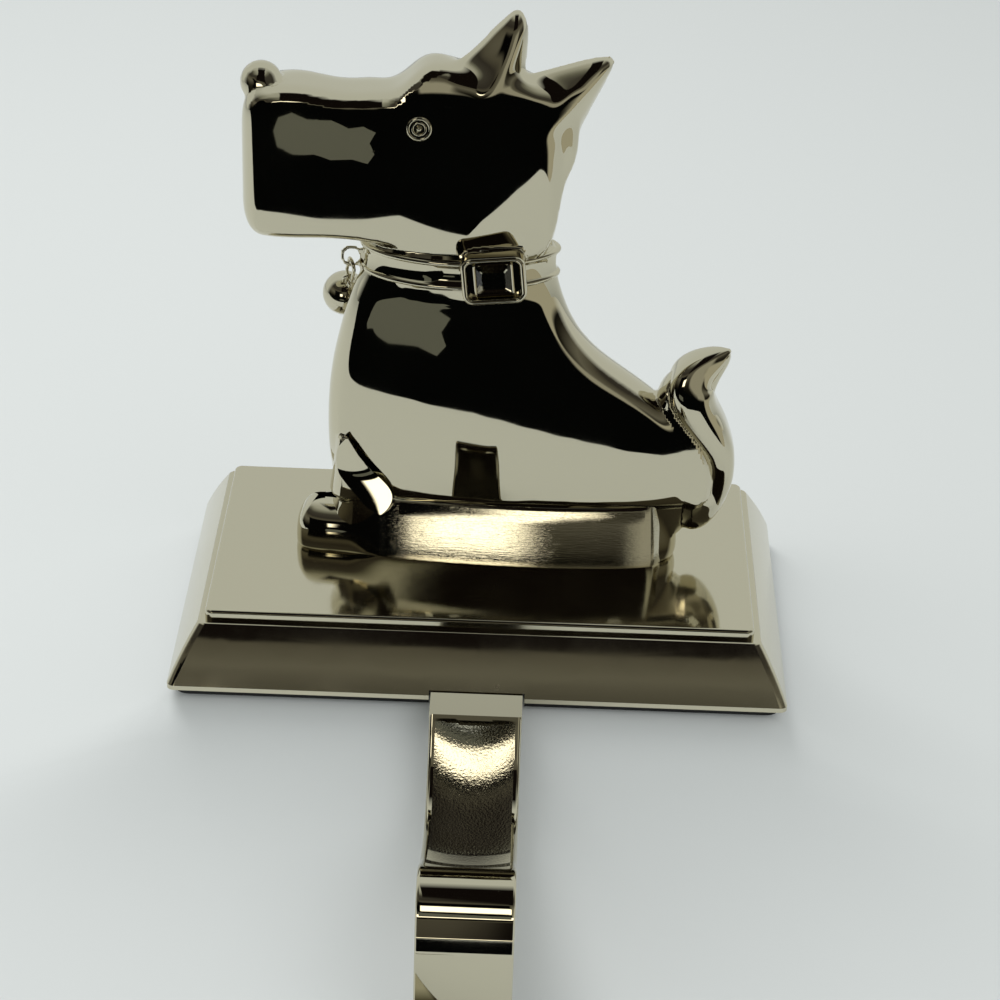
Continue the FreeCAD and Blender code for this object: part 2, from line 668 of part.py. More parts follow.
def buckle():
    """Makes the buckle's raised frame and the square setting for the stone."""
    frame = slab(BUCKLE_LENGTH, BUCKLE_HEIGHT, BUCKLE_CORNER, -BUCKLE_SUNK, BUCKLE_PROUD)
    top_edges = [e for e in frame.Edges if e.BoundBox.ZMin > BUCKLE_PROUD - NEAR]
    frame = frame.makeFillet(BUCKLE_ROUND, top_edges)
    length, height = BUCKLE_LENGTH - 2 * BUCKLE_RIM, BUCKLE_HEIGHT - 2 * BUCKLE_RIM
    opening = slab(length, height, BUCKLE_CORNER - BUCKLE_RIM / 2, BUCKLE_FLOOR, BUCKLE_PROUD + FLUSH)
    length, height = STONE_LENGTH + 2 * SETTING_RIM, STONE_HEIGHT + 2 * SETTING_RIM
    setting = slab(length, height, STONE_CORNER, 0, STONE_PROUD)
    length, height = STONE_LENGTH + 2 * SETTING_GAP, STONE_HEIGHT + 2 * SETTING_GAP
    seat = slab(length, height, STONE_CORNER, BUCKLE_FLOOR, STONE_PROUD + FLUSH)
    piece = frame.cut(opening).fuse(setting).cut(seat)
    piece.Placement = buckle_place()
    return piece


def buckle_stone():
    """Makes the square clear stone with a flat table and sloped facets."""
    girdle = STONE_PROUD - STONE_SUNK
    body = slab(STONE_LENGTH, STONE_HEIGHT, STONE_CORNER, BUCKLE_FLOOR, girdle)
    low = rounded_rectangle(STONE_LENGTH, STONE_HEIGHT, STONE_CORNER, girdle)
    length, height = STONE_LENGTH - 2 * STONE_FACET, STONE_HEIGHT - 2 * STONE_FACET
    high = rounded_rectangle(length, height, STONE_CORNER / 2, girdle + STONE_CROWN)
    stone = body.fuse(Part.makeLoft([low, high], True, True))
    stone.Placement = buckle_place()
    return stone


def eye(side):
    """Makes the two raised rings of an eye on one side of the head."""
    x, z = on_figure(EYE_PLACE)
    centre = Vector(x, side * HEAD_HALF_DEPTH, z)
    return [ring(centre, Vector(0, 1, 0), radius, EYE_WIRE) for radius in (EYE_RADIUS, EYE_INNER_RADIUS)]


def pupil(side):
    """Makes the dished recess inside an eye's inner ring."""
    x, z = on_figure(EYE_PLACE)
    return Part.makeSphere(PUPIL_RADIUS, Vector(x, side * (HEAD_HALF_DEPTH + EYE_WIRE), z))


def loop_centre():
    """Gives the centre of the fixed loop at the collar's front."""
    x, z = on_figure(LOOP_PLACE)
    return Vector(x, 0, z)


def dog_figure():
    """Makes the dog as one casting, with collar, buckle frame, eyes, nose and loop."""
    head = rowed(HEAD_STATIONS)
    body = stacked(BODY_LEVELS)
    tail = stacked(TAIL_LEVELS)
    leg = stacked(LEG_LEVELS)
    paw = stacked(PAW_LEVELS)
    ears = [ear(EAR_FRONT), ear(EAR_REAR)]
    x, z = on_figure(NOSE_PLACE)
    nose = Part.makeSphere(NOSE_RADIUS, Vector(x, 0, z))
    loop = ring(loop_centre(), Vector(0, 1, 0), LOOP_RADIUS, LOOP_WIRE)
    figure = body.fuse([foot(), paw, leg, tail, head] + ears + [nose, collar()])
    figure = figure.fuse([buckle(), loop])
    figure = figure.cut([pupil(-1), pupil(1)]).fuse(eye(-1) + eye(1))
    holes = [
        rod(SCREW_RADIUS + SCREW_GAP, -FLUSH, FIGURE_SCREW_GRIP + SCREW_GAP, x) for x in figure_screw_x()
    ]
    return figure.cut(holes)


def charm_direction():
    """Gives the direction in which the charm hangs, leaning on the far side of the chest."""
    side, front = math.radians(CHARM_LEAN), math.radians(CHARM_FORWARD)
    return Vector(-math.sin(front), math.sin(side) * math.cos(front), -math.cos(side) * math.cos(front))


def link_normal(turned):
    """Gives the direction square to a link's flat side, turned about the hanging direction."""
    along = charm_direction()
    flat = Vector(0, 1, 0).cross(along).normalize()
    turn = math.radians(turned)
    return flat * math.cos(turn) + along.cross(flat) * math.sin(turn)


def link(top, normal, length, width, wire):
    """Makes an oval link of round wire that hangs from its upper wire's middle."""
    along = charm_direction()
    across = along.cross(normal)
    radius, straight = width / 2 - wire, length - width
    first = top + along * radius
    pieces = []
    for centre, turn in ((first, -180), (first + along * straight, 180)):
        disc = Part.Face(Part.Wire(Part.makeCircle(wire, centre + across * radius, along)))
        pieces.append(disc.revolve(centre, normal, turn))
    for side in (-1, 1):
        pieces.append(Part.makeCylinder(wire, straight, first + across * side * radius, along))
    return pieces[0].fuse(pieces[1:]).removeSplitter()


def long_link_top():
    """Gives the middle of the wire at the top of the long link."""
    loop_bottom = loop_centre() - Vector(0, 0, LOOP_RADIUS)
    return loop_bottom - charm_direction() * (LOOP_WIRE + LINK_WIRE + LINK_PLAY)


def short_link_top():
    """Gives the middle of the wire at the top of the short link."""
    reach = LINK_LENGTH - 4 * LINK_WIRE - LINK_PLAY
    return long_link_top() + charm_direction() * reach


def ball_eye_top():
    """Gives the middle of the wire at the top of the ball's eye."""
    reach = SMALL_LINK_LENGTH - 3 * LINK_WIRE - BALL_EYE_WIRE - LINK_PLAY
    return short_link_top() + charm_direction() * reach


def charm_long_link():
    """Makes the long link that hangs in the fixed loop."""
    return link(long_link_top(), link_normal(LINK_TURN), LINK_LENGTH, LINK_WIDTH, LINK_WIRE)


def charm_short_link():
    """Makes the short link that hangs in the long one."""
    normal = link_normal(LINK_TURN + 90)
    return link(short_link_top(), normal, SMALL_LINK_LENGTH, SMALL_LINK_WIDTH, LINK_WIRE)


def charm_ball():
    """Makes the ball with the wire eye on its top."""
    along = charm_direction()
    eye_centre = ball_eye_top() + along * BALL_EYE_RADIUS
    centre = eye_centre + along * (BALL_EYE_RADIUS + BALL_RADIUS)
    wire_eye = ring(eye_centre, link_normal(LINK_TURN), BALL_EYE_RADIUS, BALL_EYE_WIRE)
    return Part.makeSphere(BALL_RADIUS, centre).fuse(wire_eye)


PARTS = {
    "base_shell": base_shell,
    "base_pad": base_pad,
    "base_ballast": ballast,
    "figure_screws": figure_screws,
    "arm_screws": arm_screws,
    "hook_arm": hook_arm,
    "dog_figure": dog_figure,
    "buckle_stone": buckle_stone,
    "charm_long_link": charm_long_link,
    "charm_short_link": charm_short_link,
    "charm_ball": charm_ball,
}
ON_PLATEAU = {"dog_figure", "buckle_stone", "charm_long_link", "charm_short_link", "charm_ball"}


def main():
    """Builds each piece and writes it to its own file."""
    os.makedirs("parts", exist_ok=True)
    for name, make in PARTS.items():
        shape = make()
        if name in ON_PLATEAU:
            shape.translate(Vector(0, 0, PLATEAU_Z))
        shape.exportStep(os.path.join("parts", name + ".step"))
        print(name, shape.isValid(), len(shape.Solids), round(shape.Volume, 1))


main()
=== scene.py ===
"""Looks of the mantel stocking holder: a mirror-plated seated dog on a stepped base with a hook arm."""

import logging
import math
from dataclasses import dataclass, field
from enum import Enum

import bmesh
import bpy
import numpy as np
from mathutils import Matrix, Vector

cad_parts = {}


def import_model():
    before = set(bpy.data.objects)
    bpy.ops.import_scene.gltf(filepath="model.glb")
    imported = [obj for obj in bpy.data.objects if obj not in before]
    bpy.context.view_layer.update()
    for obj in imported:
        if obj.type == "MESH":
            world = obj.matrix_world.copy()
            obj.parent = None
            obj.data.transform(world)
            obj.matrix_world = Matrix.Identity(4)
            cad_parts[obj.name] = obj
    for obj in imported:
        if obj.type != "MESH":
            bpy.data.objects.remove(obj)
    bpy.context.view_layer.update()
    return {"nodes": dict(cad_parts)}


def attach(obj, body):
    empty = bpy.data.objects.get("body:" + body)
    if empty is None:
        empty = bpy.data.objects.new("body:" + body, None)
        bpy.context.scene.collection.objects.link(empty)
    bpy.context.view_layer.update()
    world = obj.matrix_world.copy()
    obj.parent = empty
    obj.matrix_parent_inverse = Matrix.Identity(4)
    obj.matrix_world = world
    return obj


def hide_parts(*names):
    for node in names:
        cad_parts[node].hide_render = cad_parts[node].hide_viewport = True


logging.basicConfig(level=logging.INFO, format="%(message)s")
LOG = logging.getLogger("holder")

MM = 0.001
PLATEAU_Z = 16.4
ARM_TOP_Z = 3.2
BASE_FRONT_Y = -38.0
ARM_WIDTH = 18.75
CORNER_STEPS = 8
SENSOR_MM = 36.0
PHOTO_PX = 1000
# Height over the plateau and place along the base of the bright edge where the tail leaves the body.
TAIL_EDGE = [
    (10.0, 43.5), (14.2, 44.8), (15.8, 46.1), (19.7, 46.7), (23.8, 45.9), (28.2, 44.2), (31.3, 42.1),
    (34.0, 39.7), (36.4, 37.9), (39.8, 36.9), (44.0, 36.5),
]

Point = tuple[float, float, float]
Profile = list[tuple[float, float]]


class Body(Enum):
    """CAD bodies that pieces ride on."""

    HOLDER = "holder"
    LONG_LINK = "long_link"
    SHORT_LINK = "short_link"
    BALL = "ball"


class Slot(Enum):
    """Material slots of the record."""

    BASE = "plated_base"
    FIGURE = "plated_figure"
    ARM = "plated_arm"
    LINKS = "plated_links"
    BALL = "plated_ball"
    STONE = "clear_stone"
    PAD = "pad"
    BALLAST = "ballast"
    SCREWS = "screws"


def srgb(hex_colour: str) -> tuple[float, float, float, float]:
    """Converts an sRGB hex colour to a linear RGBA value.

    Args:
        hex_colour: Six hex digits, with or without a leading hash.

    Returns:
        Linear red, green and blue, and an alpha of 1.
    """
    digits = hex_colour.lstrip("#")
    values = [int(digits[i : i + 2], 16) / 255 for i in (0, 2, 4)]
    linear = [v / 12.92 if v <= 0.04045 else ((v + 0.055) / 1.055) ** 2.4 for v in values]
    return (linear[0], linear[1], linear[2], 1.0)


def add_node(tree: bpy.types.NodeTree, kind: str, **values: object) -> bpy.types.Node:
    """Adds one shader node and sets its properties and inputs.

    Args:
        tree: Node tree that gets the node.
        kind: Blender's identifier for the node type.
        **values: Node properties by name, or inputs by name with underscores for spaces.

    Returns:
        The new node.
    """
    made = tree.nodes.new(kind)
    for name, value in values.items():
        if hasattr(made, name):
            setattr(made, name, value)
        else:
            made.inputs[name.replace("_", " ")].default_value = value
    return made


def mix_colour(tree: bpy.types.NodeTree, first: str, second: str) -> tuple:
    """Adds a node that mixes two colours.

    Args:
        tree: Node tree that gets the node.
        first: sRGB colour at factor 0.
        second: sRGB colour at factor 1.

    Returns:
        The sockets for the factor, the first colour, the second colour and the result.
    """
    made = add_node(tree, "ShaderNodeMix", data_type="RGBA")
    named = {socket.identifier: socket for socket in made.inputs}
    named["A_Color"].default_value = srgb(first)
    named["B_Color"].default_value = srgb(second)
    result = next(socket for socket in made.outputs if socket.identifier == "Result_Color")
    return named["Factor_Float"], named["A_Color"], named["B_Color"], result


def map_range(
    tree: bpy.types.NodeTree,
    value: bpy.types.NodeSocket,
    source: tuple[float, float],
    target: tuple[float, float] = (0.0, 1.0),
    kind: str = "LINEAR",
) -> bpy.types.NodeSocket:
    """Adds a node that maps one range of values to another.

    Args:
        tree: Node tree that gets the node.
        value: Socket with the value.
        source: The value's lowest and highest number.
        target: What they become.
        kind: Blender's name for the way between them.

    Returns:
        The socket with the mapped value.
    """
    made = add_node(tree, "ShaderNodeMapRange", interpolation_type=kind)
    for name, number in zip(("From Min", "From Max", "To Min", "To Max"), source + target):
        made.inputs[name].default_value = number
    tree.links.new(value, made.inputs["Value"])
    return made.outputs["Result"]


def add_noise(
    tree: bpy.types.NodeTree, where: bpy.types.NodeSocket, size_mm: float, **values: float
) -> bpy.types.NodeSocket:
    """Adds a noise pattern of a real size.

    Args:
        tree: Node tree that gets the node.
        where: Socket with the place.
        size_mm: Size of the pattern.
        **values: Other inputs by name.

    Returns:
        The socket with the noise.
    """
    made = add_node(tree, "ShaderNodeTexNoise", Scale=1 / (size_mm * MM), **values)
    tree.links.new(where, made.inputs["Vector"])
    return made.outputs["Fac"]


def add_bump(
    tree: bpy.types.NodeTree,
    height: bpy.types.NodeSocket,
    height_mm: float,
    under: bpy.types.NodeSocket | None = None,
) -> bpy.types.NodeSocket:
    """Adds a bump of a real height.

    Args:
        tree: Node tree that gets the node.
        height: Socket with the pattern.
        height_mm: Height of the bump.
        under: Socket with the normal that it disturbs further.

    Returns:
        The socket with the disturbed normal.
    """
    made = add_node(tree, "ShaderNodeBump", Distance=height_mm * MM, Strength=1.0)
    tree.links.new(height, made.inputs["Height"])
    if under is not None:
        tree.links.new(under, made.inputs["Normal"])
    return made.outputs["Normal"]


@dataclass(frozen=True)
class PlateFinish:
    """Mirror plating: a warm nickel film that shows the room, with wear that only breaks it up slightly.

    Attributes:
        name: Material name.
        tint: sRGB colour that the plate gives to what it reflects.
        roughness: Roughness of the clean plate.
        haze: Roughness added in cloudy patches.
        haze_mm: Size of the cloudy patches.
        wave: Height of the slow waves in the casting, in millimetres.
        wave_mm: Distance between those waves.
        stipple: Height of the fine stippling, in millimetres.
        scratch: Height of the fine scratches, in millimetres.
        speck: Share of the surface taken by tarnish specks.
        speck_mm: Size of the specks.
        stipple_mm: Size of the stippling.
        scratch_mm: Width of the scratches.
    """

    name: str
    tint: str = "CBC5AF"
    roughness: float = 0.035
    haze: float = 0.05
    haze_mm: float = 22.0
    wave: float = 0.03
    wave_mm: float = 14.0
    stipple: float = 0.0
    scratch: float = 0.0
    speck: float = 0.5
    speck_mm: float = 1.9
    stipple_mm: float = 0.45
    scratch_mm: float = 4.5

    def build(self) -> bpy.types.Material:
        """Builds the material.

        Returns:
            A metallic material with haze, waves, scratches and tarnish specks.
        """
        material = bpy.data.materials.new(self.name)
        material.use_nodes = True
        tree = material.node_tree
        tree.nodes.clear()
        link = tree.links.new
        out = add_node(tree, "ShaderNodeOutputMaterial")
        shader = add_node(tree, "ShaderNodeBsdfPrincipled", Metallic=1.0)
        where = add_node(tree, "ShaderNodeTexCoord").outputs["Object"]
        cloud = add_noise(tree, where, self.haze_mm, Detail=5.0, Roughness=0.6)
        rough = map_range(tree, cloud, (0.42, 0.72), (self.roughness, self.roughness + self.haze))
        speck = add_noise(tree, where, self.speck_mm, Detail=2.0, Roughness=0.55)
        spot = map_range(tree, speck, (0.80 - 0.04 * self.speck, 0.84))
        share, _, _, mixed = mix_colour(tree, self.tint, "5E5546")
        link(spot, share)
        link(mixed, shader.inputs["Base Color"])
        final = add_node(tree, "ShaderNodeMath", operation="MULTIPLY_ADD")
        final.inputs[1].default_value = 0.35
        link(spot, final.inputs[0])
        link(rough, final.inputs[2])
        link(final.outputs["Value"], shader.inputs["Roughness"])
        link(self._relief(tree, where), shader.inputs["Normal"])
        link(shader.outputs["BSDF"], out.inputs["Surface"])
        return material

    def _relief(self, tree: bpy.types.NodeTree, where: bpy.types.NodeSocket) -> bpy.types.NodeSocket:
        """Adds the slow waves, the stippling and the scratches.

        Args:
            tree: Node tree of the material.
            where: Socket with the place.

        Returns:
            The socket with the disturbed normal.
        """
        last = add_bump(tree, add_noise(tree, where, self.wave_mm, Detail=1.0, Roughness=0.4), self.wave)
        if self.stipple > 0:
            last = add_bump(tree, add_noise(tree, where, self.stipple_mm, Detail=2.0), self.stipple, last)
        if self.scratch > 0:
            stretch = add_node(tree, "ShaderNodeMapping")
            stretch.inputs["Rotation"].default_value = (0.3, 0.5, 0.9)
            stretch.inputs["Scale"].default_value = (1.0, 14.0, 14.0)
            tree.links.new(where, stretch.inputs["Vector"])
            lines = add_noise(tree, stretch.outputs["Vector"], self.scratch_mm, Detail=3.0, Roughness=0.7)
            last = add_bump(tree, lines, self.scratch, last)
        return last


@dataclass(frozen=True)
class PlainFinish:
    """A plain surface such as foam rubber, raw iron or paper, with a fine grain.

    Attributes:
        name: Material name.
        colour: sRGB colour.
        roughness: Surface roughness.
        metallic: Metal share.
        grain: Height of the grain in millimetres.
        grain_mm: Size of the grain.
    """

    name: str
    colour: str
    roughness: float = 0.6
    metallic: float = 0.0
    grain: float = 0.02
    grain_mm: float = 0.8

    def build(self) -> bpy.types.Material:
        """Builds the material.

        Returns:
            A plain material whose grain breaks up the highlights.
        """
        material = bpy.data.materials.new(self.name)
        material.use_nodes = True
        tree = material.node_tree
        shader = tree.nodes["Principled BSDF"]
        shader.inputs["Base Color"].default_value = srgb(self.colour)
        shader.inputs["Roughness"].default_value = self.roughness
        shader.inputs["Metallic"].default_value = self.metallic
        where = add_node(tree, "ShaderNodeTexCoord").outputs["Object"]
        bump = add_bump(tree, add_noise(tree, where, self.grain_mm, Detail=4.0), self.grain)
        tree.links.new(bump, shader.inputs["Normal"])
        return material


@dataclass(frozen=True)
class StoneFinish:
    """Clear cut glass: it bends what lies behind and throws hard glints from its facets.

    Attributes:
        name: Material name.
        colour: sRGB tint of the glass.
    """

    name: str
    colour: str = "EEF0F2"

    def build(self) -> bpy.types.Material:
        """Builds the material.

        Returns:
            A clear refracting material.
        """
        material = bpy.data.materials.new(self.name)
        material.use_nodes = True
        shader = material.node_tree.nodes["Principled BSDF"]
        shader.inputs["Base Color"].default_value = srgb(self.colour)
        shader.inputs["Roughness"].default_value = 0.02
        shader.inputs["IOR"].default_value = 1.62
        shader.inputs["Transmission Weight"].default_value = 1.0
        return material


# Warm nickel plate on the casting: the slow waves make the reflections run as they do on a polished cast.
FIGURE_PLATE = PlateFinish("figure_plate", roughness=0.012, haze=0.03, wave=0.045, wave_mm=11.0)
# The foot's long sides are wiped and rubbed: fine scratches smear what they mirror into soft bright streaks.
FOOT_PLATE = PlateFinish(
    "foot_plate", roughness=0.045, haze=0.05, haze_mm=7.0, wave=0.03, scratch=0.022, speck=0.3
)
# The same plate on the base, cloudier because its flat top is handled and wiped.
BASE_PLATE = PlateFinish("base_plate", roughness=0.06, haze=0.09, wave=0.02, wave_mm=20.0, speck=0.8)
# Plate on the arm's outer faces, hardly worn: a clean mirror with sharp-edged reflections.
ARM_PLATE = PlateFinish("arm_plate", roughness=0.02, haze=0.03, wave=0.01, wave_mm=16.0)
# Inside the arm's dish the die left fine stippling, so the mirror spreads into a glow.
DISH_PLATE = PlateFinish("dish_plate", roughness=0.09, haze=0.06, stipple=0.030, wave=0.02)
# Small polished wire and ball: soft glints that run along the links, and the room in small on the ball.
TRIM_PLATE = PlateFinish("trim_plate", roughness=0.05, wave=0.0, speck=0.2)
# Clear cut glass: dark where it looks into the setting, with hard glints on its facets.
STONE_GLASS = StoneFinish("stone_glass")
# Soft black foam rubber: dull, with fine pores.
PAD_FOAM = PlainFinish("pad_foam", "17181A", roughness=0.85, grain=0.08, grain_mm=0.7)
# Raw iron block: dark and rough, seen only from below.
BALLAST_IRON = PlainFinish("ballast_iron", "4A4A4C", roughness=0.55, metallic=1.0, grain=0.05, grain_mm=1.5)
# Zinc-plated screws: pale and slightly dull.
SCREW_ZINC = PlainFinish("screw_zinc", "B4B6B8", roughness=0.3, metallic=1.0, grain=0.005, grain_mm=0.5)


def lay_mesh(name: str, points: list[Point], faces: list[list[int]]) -> bpy.types.Object:
    """Makes a smoothly shaded object from points in millimetres in the CAD frame.

    Args:
        name: Object name.
        points: Corner points.
        faces: Corner indices of each face.

    Returns:
        The linked object.
    """
    mesh = bpy.data.meshes.new(name)
    mesh.from_pydata([tuple(c * MM for c in p) for p in points], [], faces)
    mesh.validate()
    work = bmesh.new()
    work.from_mesh(mesh)
    bmesh.ops.recalc_face_normals(work, faces=work.faces)
    work.to_mesh(mesh)
    work.free()
    mesh.polygons.foreach_set("use_smooth", [True] * len(mesh.polygons))
    made = bpy.data.objects.new(name, mesh)
    bpy.context.scene.collection.objects.link(made)
    return made


def grid_faces(rows: int, columns: int, wrap_rows: bool, wrap_columns: bool) -> list[list[int]]:
    """Lists the quads of a grid of points.

    Args:
        rows: Number of rows.
        columns: Number of points in a row.
        wrap_rows: Whether the last row joins the first.
        wrap_columns: Whether each row closes on itself.

    Returns:
        The quads.
    """
    faces = []
    for i in range(rows if wrap_rows else rows - 1):
        for j in range(columns if wrap_columns else columns - 1):
            k, m = (i + 1) % rows, (j + 1) % columns
            faces.append([i * columns + j, i * columns + m, k * columns + m, k * columns + j])
    return faces


def end_faces(count: int, columns: int) -> list[list[int]]:
    """Lists the two faces that close the ends of a tube.

    Args:
        count: Number of points in the whole tube.
        columns: Number of points in a row.

    Returns:
        The face on the first row and the face on the last.
    """
    return [list(range(columns)), list(range(count - columns, count))]


def dress(
    piece: bpy.types.Object, material: bpy.types.Material, body: Body = Body.HOLDER
) -> None:
    """Gives a piece its material and the body it rides on.

    Args:
        piece: The piece.
        material: Its material.
        body: The CAD body it moves with.
    """
    piece.data.materials.clear()
    piece.data.materials.append(material)
    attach(piece, body.value)


def smooth_by_angle(piece: bpy.types.Object, degrees: float) -> None:
    """Shades a mesh smoothly but keeps its edges sharper than an angle.

    Args:
        piece: The mesh object.
        degrees: Edges that turn more than this stay sharp.
    """
    mesh = piece.data
    mesh.polygons.foreach_set("use_smooth", [True] * len(mesh.polygons))
    work = bmesh.new()
    work.from_mesh(mesh)
    limit = math.radians(degrees)
    sharp = [e.index for e in work.edges if len(e.link_faces) == 2 and e.calc_face_angle(0.0) > limit]
    work.free()
    flags = [False] * len(mesh.edges)
    for index in sharp:
        flags[index] = True
    mesh.edges.foreach_set("use_edge_sharp", flags)
    mesh.update()


def lens_points(half_length: float, half_depth: float, x: float, count: int) -> list[tuple[float, float]]:
    """Gives points round the collar's plan, a lens with blunt ends.

    Args:
        half_length: Half of its length.
        half_depth: Half of its depth.
        x: Place of its middle.
        count: Number of points.

    Returns:
        Points as x and y.
    """
    points = []
    for i in range(count):
        turn = 2 * math.pi * i / count
        c, s = math.cos(turn), math.sin(turn)
        points.append((x + half_length * c, half_depth * math.copysign(abs(s) ** 1.18, s)))
    return points


def blend(values: np.ndarray, low: float, high: float) -> np.ndarray:
    """Rises smoothly from 0 to 1 between two values.

    Args:
        values: Values to look at.
        low: Value up to which the result is 0.
        high: Value from which it is 1.

    Returns:
        The shares.
    """
    share = np.clip((values - low) / (high - low), 0.0, 1.0)
    return share * share * (3 - 2 * share)


def leaning(across: float, out: float, degrees: float) -> Vector:
    """Leans a level direction up.

    Args:
        across: Its part along the base.
        out: Its part across the base.
        degrees: How far it leans up.

    Returns:
        The direction.
    """
    lean = math.radians(degrees)
    return Vector((across * math.cos(lean), out * math.cos(lean), math.sin(lean)))


def vertex_rows(mesh: bpy.types.Mesh, name: str) -> np.ndarray:
    """Reads one vector of every vertex.

    Args:
        mesh: The mesh.
        name: Blender's name for the vector.

    Returns:
        One row for each vertex.
    """
    values = np.empty(len(mesh.vertices) * 3)
    mesh.vertices.foreach_get(name, values)
    return values.reshape(-1, 3)


def edge_ends(mesh: bpy.types.Mesh) -> tuple[np.ndarray, np.ndarray]:
    """Reads the ends of every edge.

    Args:
        mesh: The mesh.

    Returns:
        The vertices at the first end and those at the other.
    """
    ends = np.empty(len(mesh.edges) * 2, dtype=int)
    mesh.edges.foreach_get("vertices", ends)
    first, second = ends.reshape(-1, 2).T
    return first, second


def resample(table: np.ndarray, along: np.ndarray, count: int, passes: int) -> np.ndarray:
    """Spaces the rows of a table evenly and smooths them.

    Args:
        table: The rows.
        along: How far along each row lies.
        count: Number of rows wanted.
        passes: Smoothing passes.

    Returns:
        The new rows.
    """
    fine = np.linspace(0, along[-1], count)
    rows = np.stack([np.interp(fine, along, column) for column in table.T], axis=1)
    for _ in range(passes):
        rows[1:-1] = (rows[:-2] + 2 * rows[1:-1] + rows[2:]) / 4
    return rows


@dataclass(frozen=True)
class Dome:
    """A gently domed part of the casting's side, which sets how far its mirror image shrinks.

    Attributes:
        x: Place along the base where it faces straight out.
        z: Height over the plateau where it faces straight out.
        rise: How far that height rises for each millimetre to the left of the middle and right of the pivot.
        pivot: Place along the base where it starts to change on the right.
        radius: Its radius along the base and upwards.
        low: Height over the plateau where it starts.
        high: Height over the plateau where it ends.
    """

    x: float
    z: float
    rise: tuple[float, float]
    pivot: float
    radius: tuple[float, float]
    low: float
    high: float

    def turn(self, points: np.ndarray, normals: np.ndarray) -> np.ndarray:
        """Turns the normals of the nearly flat side to those of the dome.

        Args:
            points: Points in millimetres.
            normals: Their unit normals.

        Returns:
            The turned normals.
        """
        height = points[:, 2] - PLATEAU_Z
        inside = blend(height, self.low - 2, self.low + 1) * blend(-height, -self.high - 1, -self.high + 2)
        share = (inside * blend(np.abs(normals[:, 1]), 0.80, 0.97))[:, None]
        level = self.z + self.rise[0] * np.maximum(0.0, -points[:, 0])
        level += self.rise[1] * np.maximum(0.0, points[:, 0] - self.pivot)
        domed = np.stack(
            [
                (points[:, 0] - self.x) / self.radius[0],
                np.sign(normals[:, 1]),
                (height - level) / self.radius[1],
            ],
            axis=1,
        )
        domed /= np.linalg.norm(domed, axis=1)[:, None]
        turned = normals * (1 - share) + domed * share
        return turned / np.linalg.norm(turned, axis=1)[:, None]


